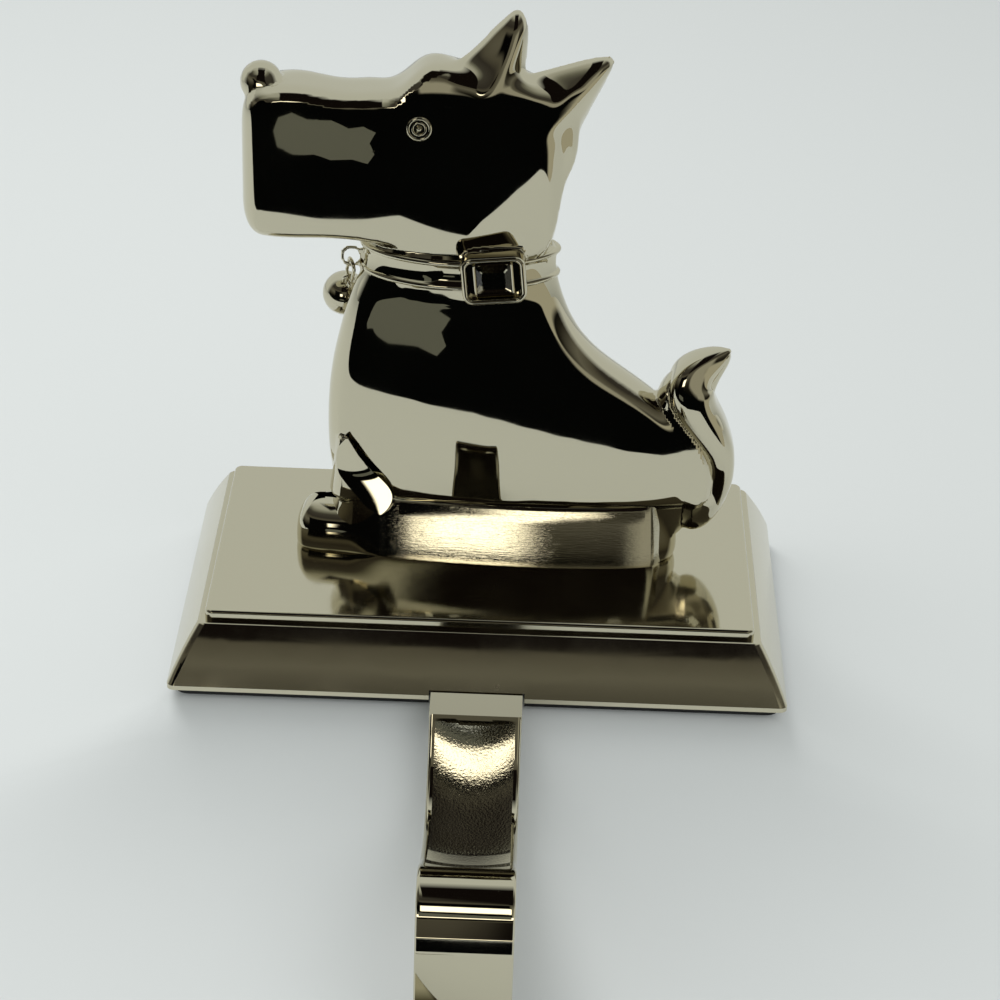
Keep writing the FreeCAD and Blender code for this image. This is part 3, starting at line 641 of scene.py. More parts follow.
@dataclass
class CastFigure:
    """The dog's skin: the CAD casting remeshed fine and softened, so that the mirror shows no facets.

    Attributes:
        voxel_mm: Size of the remesh cells.
        passes: Softening passes over the whole figure.
        ear_passes: More passes for the ears and the brow.
        normal_passes: Passes that even out the normals where the surface is nearly flat.
        crease_deg: Turn between neighbours above which their normals are kept apart.
        steps: Share of the way to the neighbours' middle that each first and each second pass moves a point.
        tail_draw: Share of its depth by which the skin is drawn in under the tail.
        foot_draw: The same under the foot, and what its front adds.
        leg_draw: The same under the front leg.
        neck_half: Greatest half depth of the skin inside the collar.
        domes: Domed sides.
    """

    voxel_mm: float = 0.5
    passes: int = 24
    ear_passes: int = 70
    normal_passes: int = 24
    crease_deg: float = 8.0
    steps: tuple[float, float] = (0.5, -0.44)
    tail_draw: float = 0.3
    foot_draw: tuple[float, float] = (0.14, 0.22)
    leg_draw: float = 0.10
    neck_half: float = 8.9
    domes: tuple[Dome, ...] = (
        Dome(-5.5, 22.8, (0.34, -0.22), 10.0, (175.0, 290.0), 14.5, 61.0),
        Dome(-26.0, 92.0, (0.0, 1.75), -5.0, (118.0, 200.0), 69.0, 105.0),
    )

    def build(self, nodes: dict[str, bpy.types.Object], plate: bpy.types.Material) -> None:
        """Builds the skin in place of the CAD node.

        Args:
            nodes: CAD nodes by name.
            plate: Plated material.
        """
        source = nodes["dog_figure"]
        skin = bpy.data.objects.new("figure_skin", source.data.copy())
        bpy.context.scene.collection.objects.link(skin)
        remesh = skin.modifiers.new("remesh", "REMESH")
        remesh.mode = "VOXEL"
        remesh.voxel_size = self.voxel_mm * MM
        graph = bpy.context.evaluated_depsgraph_get()
        mesh = bpy.data.meshes.new_from_object(skin.evaluated_get(graph))
        skin.modifiers.clear()
        skin.data = mesh
        mesh.polygons.foreach_set("use_smooth", [True] * len(mesh.polygons))
        LOG.info("figure skin: %d faces", len(mesh.polygons))
        dress(skin, plate)
        self._shape(mesh)
        self._even_normals(mesh)
        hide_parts("dog_figure")

    def _shape(self, mesh: bpy.types.Mesh) -> None:
        """Softens the skin and draws it in under the foot, the front leg and the tail.

        Args:
            mesh: The skin.
        """
        count = len(mesh.vertices)
        points = vertex_rows(mesh, "co") / MM
        a, b = edge_ends(mesh)
        degree = np.bincount(a, minlength=count) + np.bincount(b, minlength=count)
        height = points[:, 2] - PLATEAU_Z
        ears = (blend(height, 86, 94) * blend(points[:, 0], -22, -10))[:, None]
        for turn in range(self.passes + self.ear_passes):
            total = np.empty_like(points)
            for k in range(3):
                total[:, k] = np.bincount(a, points[b, k], minlength=count)
                total[:, k] += np.bincount(b, points[a, k], minlength=count)
            share = 1.0 if turn < self.passes else ears
            points += self.steps[turn % 2] * share * (total / degree[:, None] - points)
        height = points[:, 2] - PLATEAU_Z
        edge = np.interp(height, *np.array(TAIL_EDGE).T)
        tail = blend(points[:, 0] - edge, -0.6, 1.2) * blend(height, 8, 12)
        foot = blend(-height, -14.6, -13.2)
        front = blend(-points[:, 0], 12, 19)
        leg = blend(-height, -29, -26) * blend(-points[:, 0], 17, 20) * (1 - foot)
        under_foot = (self.foot_draw[0] + self.foot_draw[1] * front) * foot * (1 - tail)
        points[:, 1] *= 1 - self.tail_draw * tail - under_foot - self.leg_draw * leg
        paw = foot * blend(-points[:, 0], 27, 31)
        points[:, 0] += 1.6 * paw
        points[:, 2] -= 1.2 * paw * blend(height, 2, 6)
        neck = blend(height, 57, 59) * blend(-height, -75, -73)
        held = np.clip(points[:, 1], -self.neck_half, self.neck_half)
        points[:, 1] = points[:, 1] * (1 - neck) + held * neck
        mesh.vertices.foreach_set("co", (points * MM).ravel())
        mesh.update()

    def _even_normals(self, mesh: bpy.types.Mesh) -> None:
        """Evens out the normals of near-flat places and domes the sides, for reflections in clean lines.

        Args:
            mesh: The skin.
        """
        count = len(mesh.vertices)
        normals = vertex_rows(mesh, "normal")
        points = vertex_rows(mesh, "co") / MM
        a, b = edge_ends(mesh)
        spread = 1 - math.cos(math.radians(self.crease_deg))
        height = (points[a, 2] + points[b, 2]) / 2 - PLATEAU_Z
        ears = blend(height, 90, 97) * blend(points[a, 0], -14, -6)
        for _ in range(self.normal_passes):
            turn = 1 - np.einsum("ij,ij->i", normals[a], normals[b])
            weight = np.maximum(np.exp(-turn / spread), ears)
            total = normals.copy()
            for k in range(3):
                total[:, k] += np.bincount(a, weight * normals[b, k], minlength=count)
                total[:, k] += np.bincount(b, weight * normals[a, k], minlength=count)
            normals = total / np.linalg.norm(total, axis=1)[:, None]
        for dome in self.domes:
            normals = dome.turn(points, normals)
        mesh.normals_split_custom_set_from_vertices(normals.tolist())


@dataclass
class Foot:
    """The long foot of the casting: a ledge with sloping, rubbed sides, a raised edge and a bevelled end.

    Attributes:
        outline: Near half of the foot seen from above, from the paw to the rear.
        section: How far the side is drawn in, its height, and how far its normal leans up in degrees.
        swing: How far the normals of the sides turn to the left in degrees, and those of the top edge.
        paw_section: The same for the rounded paw in front.
    """

    outline: Profile = field(
        default_factory=lambda: [
            (-39.9, 0.0), (-39.6, -3.0), (-38.2, -4.8), (-35.2, -5.7), (-30.0, -6.1), (-23.4, -6.95),
            (-18.0, -7.8), (-12.0, -8.4), (-6.0, -8.85), (3.0, -9.3), (12.0, -9.4), (20.0, -9.1),
            (28.0, -8.6), (33.0, -7.9), (35.6, -7.3), (36.6, -6.2), (39.4, -2.6), (40.2, 0.0),
        ]
    )
    section: tuple[Point, ...] = (
        (0.5, 0.0, 2.0), (0.15, 0.3, 8.0), (0.0, 1.0, 13.0), (0.0, 2.2, 16.0), (0.1, 4.0, 18.0),
        (0.35, 6.2, 19.0), (0.65, 8.2, 20.0), (1.0, 10.2, 21.0), (1.3, 12.0, 22.0), (1.5, 13.0, 26.0),
        (1.75, 13.6, 48.0), (2.1, 13.9, 72.0), (2.5, 14.3, 62.0), (3.0, 15.2, 40.0), (4.2, 16.0, 20.0),
    )
    swing: tuple[float, float] = (4.5, 9.0)
    paw_section: tuple[Point, ...] = (
        (0.9, 0.0, -40.0), (0.3, 0.35, -25.0), (0.0, 1.0, -6.0), (0.0, 2.4, 0.0), (0.08, 4.0, 5.0),
        (0.3, 5.5, 13.0), (0.8, 7.0, 26.0), (1.5, 8.3, 38.0), (2.3, 9.2, 50.0), (3.0, 9.8, 60.0),
        (3.6, 10.2, 68.0), (4.2, 10.5, 75.0), (4.8, 10.7, 80.0), (5.4, 10.8, 84.0), (6.0, 10.9, 88.0),
    )

    def build(self, plate: bpy.types.Material, side: bpy.types.Material) -> None:
        """Builds the foot.

        Args:
            plate: Plated material of the edges.
            side: Plated material of the rubbed sides.
        """
        ring = self._ring()
        count = len(ring)
        points: list[Point] = []
        normals: list[Vector] = []
        for side_row, paw_row in zip(self.section, self.paw_section):
            for x, y, out in ring:
                share = float(blend(np.array(-x), 20.0, 29.0))
                inward, height, lean = (u * (1 - share) + v * share for u, v in zip(side_row, paw_row))
                edge = 11.8 < side_row[1] < 13.4 and -18 < x < 34
                lean = 19.0 if edge else lean
                swung = math.radians(self.swing[1] if edge else self.swing[0]) * (1 if y < 0 else -1)
                face = out @ Matrix.Rotation(swung, 3, "Z") if abs(out.y) > 0.9 else out
                rise = height * (1 + 0.22 * float(blend(np.array(x), 33.0, 39.0)) * height / 14)
                points.append((x - out.x * inward, y - out.y * inward, rise + PLATEAU_Z))
                normals.append(leaning(face.x, face.y, lean))
        faces = grid_faces(len(self.section), count, False, True) + end_faces(len(points), count)
        piece = lay_mesh("foot_ledge", points, faces)
        dress(piece, plate)
        piece.data.materials.append(side)
        for polygon in piece.data.polygons:
            low = polygon.center.z / MM - PLATEAU_Z
            polygon.material_index = int(0.4 < low < 13.6 and polygon.center.x / MM > -22)
        piece.data.normals_split_custom_set_from_vertices([normal[:] for normal in normals])

    def _ring(self) -> list[tuple[float, float, Vector]]:
        """Gives points round the foot, rounded between the outline's points.

        Returns:
            Points as x, y and the outward direction.
        """
        near = np.array(self.outline)
        whole = np.concatenate([near, (near[1:-1] * [1, -1])[::-1]])
        for _ in range(4):
            after = np.roll(whole, -1, axis=0)
            cut = [whole * 0.75 + after * 0.25, whole * 0.25 + after * 0.75]
            whole = np.stack(cut, axis=1).reshape(-1, 2)
        run = np.roll(whole, -1, axis=0) - np.roll(whole, 1, axis=0)
        run /= np.linalg.norm(run, axis=1)[:, None]
        return [(float(x), float(y), Vector((dy, -dx, 0.0))) for (x, y), (dx, dy) in zip(whole, run)]


@dataclass
class Tail:
    """The tail: a round upright stem that curls back to a blunt tip, with a bright edge beside the body.

    Attributes:
        stations: Centre along the base, height over the plateau, half width and half depth, from the root up.
        boxy: Power that makes the section fuller than an ellipse, where 1 is an ellipse.
    """

    stations: tuple[tuple[float, float, float, float], ...] = (
        (45.9, 10.2, 1.3, 1.6), (46.5, 12.0, 2.3, 2.8), (47.6, 15.0, 3.0, 3.6), (48.6, 18.5, 3.1, 4.2),
        (49.0, 22.0, 2.9, 4.7), (48.3, 26.0, 3.3, 5.1), (46.1, 30.2, 4.0, 5.5), (43.3, 34.6, 4.4, 5.8),
        (41.6, 38.4, 4.9, 5.9), (41.6, 41.8, 4.6, 5.2), (43.4, 44.3, 3.5, 4.0), (45.9, 46.1, 2.6, 2.9),
        (47.7, 47.3, 1.8, 1.9), (48.9, 48.1, 0.9, 1.0), (49.3, 48.35, 0.25, 0.3),
    )
    boxy: float = 0.62

    def build(self, plate: bpy.types.Material) -> None:
        """Builds the tail.

        Args:
            plate: Plated material.
        """
        table = np.array(self.stations)
        along = np.concatenate([[0.0], np.cumsum(np.linalg.norm(np.diff(table[:, :2], axis=0), axis=1))])
        smooth = resample(table, along, 90, 14)
        run = np.gradient(smooth[:, :2], axis=0)
        run /= np.linalg.norm(run, axis=1)[:, None]
        columns = 64
        points: list[Point] = []
        for (x, z, half, depth), (dx, dz) in zip(smooth, run):
            for j in range(columns):
                turn = 2 * math.pi * j / columns
                c, s = math.cos(turn), math.sin(turn)
                across = half * math.copysign(abs(c) ** self.boxy, c)
                out = depth * math.copysign(abs(s) ** self.boxy, s)
                points.append((x + across * dz, out, z - across * dx + PLATEAU_Z))
        faces = grid_faces(len(smooth), columns, False, True) + end_faces(len(points), columns)
        dress(lay_mesh("tail_curl", points, faces), plate)


@dataclass
class FrontLeg:
    """The front leg: a leaf-shaped bulge on both sides, from a point at the chest down to the foot.

    Attributes:
        rows: Height over the plateau and its front and rear edge, from the point down.
        bulge: How far its middle stands out.
    """

    rows: tuple[Point, ...] = (
        (28.2, -29.0, -28.6), (26.4, -30.6, -27.6), (24.6, -31.0, -26.6), (22.4, -31.0, -24.9),
        (20.4, -30.6, -23.2), (18.6, -30.0, -21.3), (16.6, -28.9, -19.7), (14.8, -27.2, -19.2),
        (13.2, -25.6, -19.5), (11.6, -23.9, -20.4), (10.6, -22.4, -21.4),
    )
    bulge: float = 1.9

    def build(self, plate: bpy.types.Material) -> None:
        """Builds the leg on both sides.

        Args:
            plate: Plated material.
        """
        table = np.array(self.rows)
        fine = resample(table, np.arange(len(table)), 60, 10)
        columns = 31
        for side, label in ((-1, "near"), (1, "far")):
            points: list[Point] = []
            normals = []
            for row, (z, front, rear) in enumerate(fine):
                lean = -2 + 21 * float(blend(np.array(row), 14, 30))
                for j in range(columns):
                    turn = math.pi * j / (columns - 1)
                    swing = math.radians(-30 + 25 * (j / (columns - 1)) ** 0.35)
                    normals.append(leaning(math.sin(swing), side * math.cos(swing), lean)[:])
                    x = (front + rear) / 2 - (rear - front) / 2 * math.cos(turn)
                    out = 7.0 + self.bulge * math.sin(turn) ** 1.4 * min(1.0, (rear - front) / 5.0)
                    points.append((x, side * out, z + PLATEAU_Z))
            faces = grid_faces(len(fine), columns, False, False)
            piece = lay_mesh(f"front_leg_{label}", points, faces)
            if piece.data.polygons[0].normal.y * side < 0:
                piece.data.flip_normals()
            piece.data.normals_split_custom_set_from_vertices(normals)
            dress(piece, plate)


@dataclass
class Collar:
    """The collar: bright raised rims with a hollow dark band between.

    Attributes:
        x: Middle of its plan.
        z: Middle height over the mantel.
        half_length: Half of its length.
        half_depth: Half of its depth.
    """

    x: float = -6.5
    z: float = 67.32 + PLATEAU_Z
    half_length: float = 20.0
    half_depth: float = 9.8
    profile: Profile = field(
        default_factory=lambda: [
            (-1.6, -3.1), (-0.2, -3.1), (0.12, -2.95), (0.25, -2.6), (0.18, -2.2), (-0.1, -1.95),
            (-0.5, -1.7), (-0.72, -1.1), (-0.78, 0.0), (-0.72, 1.1), (-0.5, 1.7), (-0.1, 1.95),
            (0.18, 2.2), (0.25, 2.6), (0.12, 2.95), (-0.2, 3.1), (-1.6, 3.1),
        ]
    )

    def build(self, plate: bpy.types.Material) -> None:
        """Builds the collar.

        Args:
            plate: Plated material.
        """
        count = 180
        ring = lens_points(self.half_length, self.half_depth, self.x, count)
        points = []
        for i, (x, y) in enumerate(ring):
            before, after = ring[i - 1], ring[(i + 1) % count]
            out = Vector((after[1] - before[1], before[0] - after[0])).normalized()
            points += [(x + out.x * d, y + out.y * d, self.z + h) for d, h in self.profile]
        faces = grid_faces(count, len(self.profile), True, True)
        dress(lay_mesh("collar_band", points, faces), plate)


def ring_points(length: float, height: float, corner: float, out: float) -> list[Point]:
    """Gives points round a rectangle with round corners.

    Args:
        length: Its length.
        height: Its height.
        corner: Radius of its corners.
        out: Distance out of the face that it lies on.

    Returns:
        Points as length, height and out.
    """
    points = []
    for cx, cy, start in ((1, 1, 0), (-1, 1, 90), (-1, -1, 180), (1, -1, 270)):
        for i in range(CORNER_STEPS + 1):
            angle = math.radians(start + 90 * i / CORNER_STEPS)
            x = cx * (length / 2 - corner) + corner * math.cos(angle)
            points.append((x, cy * (height / 2 - corner) + corner * math.sin(angle), out))
    return points


@dataclass
class Buckle:
    """The buckle: a rounded frame, a dark sunk floor and the square setting of the stone.

    Attributes:
        x: Its middle along the base.
        z: Its middle height over the mantel.
        face_y: The collar's front.
        tilt: Turn in its own plane in degrees.
        frame: Outer length, height and corner radius of the frame.
        setting: Outer length, height and corner radius of the stone's setting.
    """

    x: float = 0.5
    z: float = 67.56 + PLATEAU_Z
    face_y: float = -9.7
    tilt: float = 6.0
    frame: Point = (12.9, 10.2, 2.3)
    setting: Point = (8.1, 7.1, 0.6)

    def build(self, plate: bpy.types.Material) -> None:
        """Builds the frame and the setting.

        Args:
            plate: Plated material.
        """
        rim = [
            (0.0, -1.4), (0.0, 1.7), (0.1, 2.1), (0.32, 2.36), (0.62, 2.45), (0.9, 2.34), (1.1, 2.05),
            (1.16, 1.7), (1.2, 0.52),
        ]
        self._shell("buckle_frame", self.frame, rim, plate)
        bezel = [(0.0, 0.3), (0.0, 1.2), (0.08, 1.5), (0.3, 1.62), (0.5, 1.5), (0.56, 1.2), (0.58, 0.55)]
        self._shell("stone_setting", self.setting, bezel, plate)

    def _shell(self, name: str, size: Point, steps: Profile, plate: bpy.types.Material) -> None:
        """Builds a raised frame with a closed floor.

        Args:
            name: Piece name.
            size: Outer length, height and corner radius.
            steps: Distance in from the outer edge and distance out, from the outside inwards.
            plate: Its material.
        """
        length, height, corner = size
        c, s = math.cos(math.radians(self.tilt)), math.sin(math.radians(self.tilt))
        points: list[Point] = []
        for inward, out in steps:
            turned = max(corner - inward, 0.15)
            for u, v, w in ring_points(length - 2 * inward, height - 2 * inward, turned, out):
                points.append((self.x + u * c - v * s, self.face_y - w, self.z + u * s + v * c))
        columns = len(points) // len(steps)
        faces = grid_faces(len(steps), columns, False, True)
        faces.append(list(range(len(points) - columns, len(points))))
        piece = lay_mesh(name, points, faces)
        smooth_by_angle(piece, 40)
        dress(piece, plate)


@dataclass
class Eyes:
    """The eyes: two crisp raised rings and a small bright bead on both sides of the head.

    Attributes:
        x: Place along the base.
        z: Height over the mantel.
        face: Half depth of the head there.
        rings: Radius and wire radius of each ring.
        bead: Radius of the bead.
    """

    x: float = -14.9
    z: float = 97.68 + PLATEAU_Z
    face: float = 7.9
    rings: tuple[tuple[float, float], ...] = ((2.15, 0.36), (1.3, 0.28))
    bead: float = 0.62

    def build(self, plate: bpy.types.Material) -> None:
        """Builds the rings and the beads.

        Args:
            plate: Plated material.
        """
        for side, label in ((-1, "near"), (1, "far")):
            for number, (radius, wire) in enumerate(self.rings):
                turns = [2 * math.pi * j / 12 for j in range(12)]
                section = [(radius + wire * math.cos(t), wire * math.sin(t)) for t in turns]
                self._spin(f"eye_ring_{label}_{number}", section, side, True, plate)
            turns = [math.radians(-80 + 20 * j) for j in range(9)]
            section = [(self.bead * math.cos(t), self.bead * math.sin(t) - 0.15) for t in turns]
            self._spin(f"eye_bead_{label}", section, side, False, plate)

    def _spin(self, name: str, section: Profile, side: int, closed: bool, plate: bpy.types.Material) -> None:
        """Spins a section about the eye's own axis.

        Args:
            name: Piece name.
            section: Points as the distance from the axis and the distance out of the head.
            side: -1 for the near side, 1 for the far side.
            closed: Whether the section closes on itself.
            plate: Its material.
        """
        count = 48
        points = []
        for reach, out in section:
            for i in range(count):
                angle = 2 * math.pi * i / count
                across, up = reach * math.cos(angle), reach * math.sin(angle)
                points.append((self.x + across, side * (self.face + out), self.z + up))
        faces = grid_faces(len(section), count, closed, True)
        if not closed:
            faces += end_faces(len(points), count)
        dress(lay_mesh(name, points, faces), plate)


@dataclass
class HookArm:
    """The arm: the CAD's flat tongue, then a swept neck with a stippled dish, a lip, a drop and a hook.

    Attributes:
        reach: How far the neck reaches in front of the base.
        dip: How deep it dips.
        drop: How far the hook hangs under the mantel's face.
        radius: Inner radius of the hook.
        lip: Length of the hook's upturned end.
        tongue: Length of the flat tongue in front of the base.
        thickness: Thickness of the neck.
        edge: Rounding of its long edges.
        rim: Width of the rims beside the dish.
        dish: Depth of the dish in its middle and at its ends.
        dish_span: Where the dish starts and ends in front of the base.
        front: How far the drop's face stands in front of the dish's end.
        dish_lean: Place across the base and how far the dish's floor leans up there in degrees.
        front_lean: Height over the mantel and how far the drop's face leans up there in degrees.
        swing: How far the normals of the floor and the drop's face turn to the right in degrees.
        drop_swing: Sideways part of the normals further down the drop, which mirror the room's pale side.
        tongue_lean: How far the tongue's upper face leans up in degrees.
    """

    reach: float = 54.0
    dip: float = 15.8
    drop: float = 40.0
    radius: float = 8.5
    lip: float = 10.0
    tongue: float = 7.5
    thickness: float = 4.4
    edge: float = 0.7
    rim: float = 1.3
    dish: tuple[float, float] = (1.1, 0.25)
    dish_span: tuple[float, float] = (8.0, 53.0)
    front: float = 9.6
    dish_lean: Profile = field(
        default_factory=lambda: [
            (-92.0, 62.0), (-88.0, 64.0), (-85.5, 46.0), (-83.5, 46.0), (-81.0, 64.0), (-74.0, 62.0),
            (-71.0, 42.0), (-67.0, 38.0), (-57.0, 35.5), (-54.5, 33.0), (-52.5, 30.0), (-51.0, 27.0),
            (-49.6, 23.5), (-48.0, 20.5), (-47.2, 15.0), (-45.5, 8.0),
        ]
    )
    front_lean: Profile = field(
        default_factory=lambda: [
            (-30.0, 2.0), (-12.7, 2.0), (-12.3, 14.0), (-9.3, 12.0), (-9.0, 35.0), (-5.4, 34.0),
            (-4.7, 22.0),
        ]
    )
    swing: float = -9.0
    drop_swing: float = 0.5
    tongue_lean: float = 67.0

    def path(self) -> list[tuple[float, float]]:
        """Gives the upper face's key points.

        Returns:
            Points as y and z.
        """
        lip_y = BASE_FRONT_Y - self.reach
        face_y = lip_y - self.front
        hook_z = -self.drop + 3.0 + self.radius
        swan = [
            (0.156, 0.13), (0.182, 0.32), (0.236, 0.68), (0.330, 0.93), (0.450, 1.0), (0.610, 0.87),
            (0.780, 0.63), (0.920, 0.34),
        ]
        curve = [(0.104, 0.19), (0.469, 0.205), (0.70, 0.29), (0.90, 0.52), (1.0, 0.84)]
        points = [(BASE_FRONT_Y - self.tongue, ARM_TOP_Z)]
        points += [(BASE_FRONT_Y - u * self.reach, ARM_TOP_Z - v * self.dip) for u, v in swan]
        points += [(lip_y - self.front * u, ARM_TOP_Z - v * self.dip) for u, v in curve]
        points.append((face_y - 0.4, (points[-1][1] + hook_z) / 2 - 0.8))
        for turn in range(0, 181, 30):
            angle = math.radians(turn)
            y = face_y - 0.8 - self.radius * (1 - math.cos(angle))
            points.append((y, hook_z - self.radius * math.sin(angle)))
        points.append((points[-1][0], hook_z + self.lip - self.radius))
        return points

    def _stations(self, spacing: float) -> tuple[np.ndarray, np.ndarray]:
        """Runs a smooth curve through the key points.

        Args:
            spacing: Distance between stations in millimetres.

        Returns:
            Places and unit tangents of the stations, as y and z.
        """
        keys = np.array(self.path())
        steps = np.hypot(*np.diff(keys, axis=0).T)
        along = np.concatenate(([0.0], np.cumsum(steps)))
        count = len(keys)
        system, right = np.zeros((count, count)), np.zeros((count, 2))
        slope = np.diff(keys, axis=0) / steps[:, None]
        system[0, 0] = system[-1, -1] = 1.0
        right[0], right[-1] = slope[0], slope[-1]
        for i in range(1, count - 1):
            system[i, i - 1], system[i, i + 1] = steps[i], steps[i - 1]
            system[i, i] = 2 * (steps[i] + steps[i - 1])
            right[i] = 3 * (slope[i - 1] * steps[i] + slope[i] * steps[i - 1])
        rate = np.linalg.solve(system, right)
        places, tangents = [], []
        for at in np.linspace(0, along[-1], int(along[-1] / spacing)):
            i = min(int(np.searchsorted(along, at, side="right")) - 1, count - 2)
            h, t = steps[i], (at - along[i]) / steps[i]
            place = keys[i] * (2 * t**3 - 3 * t**2 + 1) + keys[i + 1] * (3 * t**2 - 2 * t**3)
            place = place + h * (rate[i] * (t**3 - 2 * t**2 + t) + rate[i + 1] * (t**3 - t**2))
            tangent = (keys[i + 1] - keys[i]) * (6 * t - 6 * t**2) / h
            tangent = tangent + rate[i] * (3 * t**2 - 4 * t + 1) + rate[i + 1] * (3 * t**2 - 2 * t)
            places.append(place)
            tangents.append(tangent / np.linalg.norm(tangent))
        return np.array(places), np.array(tangents)

    def _profile(self, depth: float) -> list[tuple[float, float]]:
        """Gives the neck's cross section.

        Args:
            depth: Depth of the dish there.

        Returns:
            Points as x and the distance under the upper face.
        """
        half, flat = ARM_WIDTH / 2, ARM_WIDTH / 2 - self.rim
        points = []
        for i in range(25):
            x = -flat + 2 * flat * i / 24
            points.append((x, depth * (1 - (x / flat) ** 2) ** 0.8 if abs(x) < flat else 0.0))
        low = self.thickness
        corners = ((half, 0.0, -90), (half, low, 0), (-half, low, 90), (-half, 0.0, 180))
        for side, down, start in corners:
            cx = side - math.copysign(self.edge, side)
            cy = self.edge if down == 0.0 else down - self.edge
            for turn in range(0, 91, 15):
                angle = math.radians(start + turn)
                points.append((cx + self.edge * math.cos(angle), cy + self.edge * math.sin(angle)))
        return points

    def build(
        self, nodes: dict[str, bpy.types.Object], plate: bpy.types.Material, dish: bpy.types.Material
    ) -> None:
        """Builds the tongue and the neck in place of the CAD node.

        Args:
            nodes: CAD nodes by name.
            plate: Plated material.
            dish: Material of the stippled floor.
        """
        self._build_tongue(nodes, plate)
        self._build_neck(plate, dish)

    def _build_tongue(self, nodes: dict[str, bpy.types.Object], plate: bpy.types.Material) -> None:
        """Cuts the flat tongue out of the CAD arm and leans its upper face.

        Args:
            nodes: CAD nodes by name.
            plate: Plated material.
        """
        tongue = bpy.data.objects.new("arm_tongue", nodes["hook_arm"].data.copy())
        bpy.context.scene.collection.objects.link(tongue)
        work = bmesh.new()
        work.from_mesh(tongue.data)
        limit = (BASE_FRONT_Y - self.tongue - 0.05) * MM
        low = [f for f in work.faces if min(v.co.y for v in f.verts) < limit]
        bmesh.ops.delete(work, geom=low, context="FACES")
        work.to_mesh(tongue.data)
        work.free()
        smooth_by_angle(tongue, 35)
        normals = [Vector(corner.vector) for corner in tongue.data.corner_normals]
        level = leaning(0.0, -1.0, self.tongue_lean)
        normals = [level if normal.z > 0.97 else normal for normal in normals]
        tongue.data.normals_split_custom_set([normal[:] for normal in normals])
        dress(tongue, plate)
        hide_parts("hook_arm")

    def _build_neck(self, plate: bpy.types.Material, dish: bpy.types.Material) -> None:
        """Sweeps the neck along its curve, with the dish in its upper face.

        Args:
            plate: Plated material.
            dish: Material of the stippled floor.
        """
        places, tangents = self._stations(0.35)
        first, last = (BASE_FRONT_Y - reach for reach in self.dish_span)
        deep, shallow = self.dish
        points = []
        for (y, z), (ty, tz) in zip(places, tangents):
            share = (first - y) / (first - last) if z > -14.0 and y > last - 1 else 2.0
            inside = 0.0 < share < 1.0
            depth = shallow + (deep - shallow) * math.sin(math.pi * share) ** 0.5 if inside else 0.0
            points += [(x, y - tz * down, z + ty * down) for x, down in self._profile(depth)]
        columns = len(self._profile(0.0))
        faces = grid_faces(len(places), columns, False, True) + end_faces(len(points), columns)
        neck = lay_mesh("arm_neck", points, faces)
        smooth_by_angle(neck, 35)
        dress(neck, plate)
        neck.data.materials.append(dish)
        for face in neck.data.polygons:
            middle = face.center / MM
            between = abs(middle.x) < ARM_WIDTH / 2 - self.rim and last < middle.y < first
            if between and face.normal.z > 0.1:
                face.material_index = 1
        self._lean_dish(neck.data)
        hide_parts("hook_arm")

    def _lean_dish(self, mesh: bpy.types.Mesh) -> None:
        """Sets the normals of the dish's floor and the drop's face, which place the bands they mirror.

        Args:
            mesh: The neck.
        """
        normals = [Vector(corner.vector) for corner in mesh.corner_normals]
        floor_y, floor_lean = np.array(self.dish_lean).T
        front_z, front_lean = np.array(self.front_lean).T
        flat = ARM_WIDTH / 2 - self.rim
        swing = math.sin(math.radians(self.swing))
        for face in mesh.polygons:
            middle = face.center / MM
            outer = face.normal.z - face.normal.y > 0.2 and abs(face.normal.x) < 0.5
            lip = outer and -102.5 < middle.y < -96.5 and middle.z > -4.7
            front = outer and -104.0 < middle.y < -99.5 and -29.0 < middle.z < -4.7
            for corner in face.loop_indices:
                at = mesh.vertices[mesh.loops[corner].vertex_index].co / MM
                if face.material_index == 1:
                    side = min(1.0, abs(at.x) / flat)
                    lean = float(np.interp(at.y, floor_y, floor_lean)) + 4 * side * side
                    normals[corner] = leaning(swing - 0.03 * math.copysign(side**3, at.x), -1.0, lean)
                elif front:
                    across = swing if at.z > -12.5 else self.drop_swing
                    normals[corner] = leaning(across, -1.0, float(np.interp(at.z, front_z, front_lean)))
                elif lip:
                    normals[corner].x += swing * abs(normals[corner].y)
        mesh.normals_split_custom_set([normal.normalized()[:] for normal in normals])


@dataclass
class Dressing:
    """CAD nodes shown as they are, each with a material; the table also lists a slot for each.

    Attributes:
        table: Material and slot of each node.
    """

    table: dict[str, tuple[bpy.types.Material, Slot]]

    def build(self, nodes: dict[str, bpy.types.Object]) -> None:
        """Gives the nodes their materials.

        Args:
            nodes: CAD nodes by name.
        """
        for name, (material, slot) in self.table.items():
            piece = nodes[name]
            piece.data.materials.clear()
            piece.data.materials.append(material)
            smooth_by_angle(piece, 32)


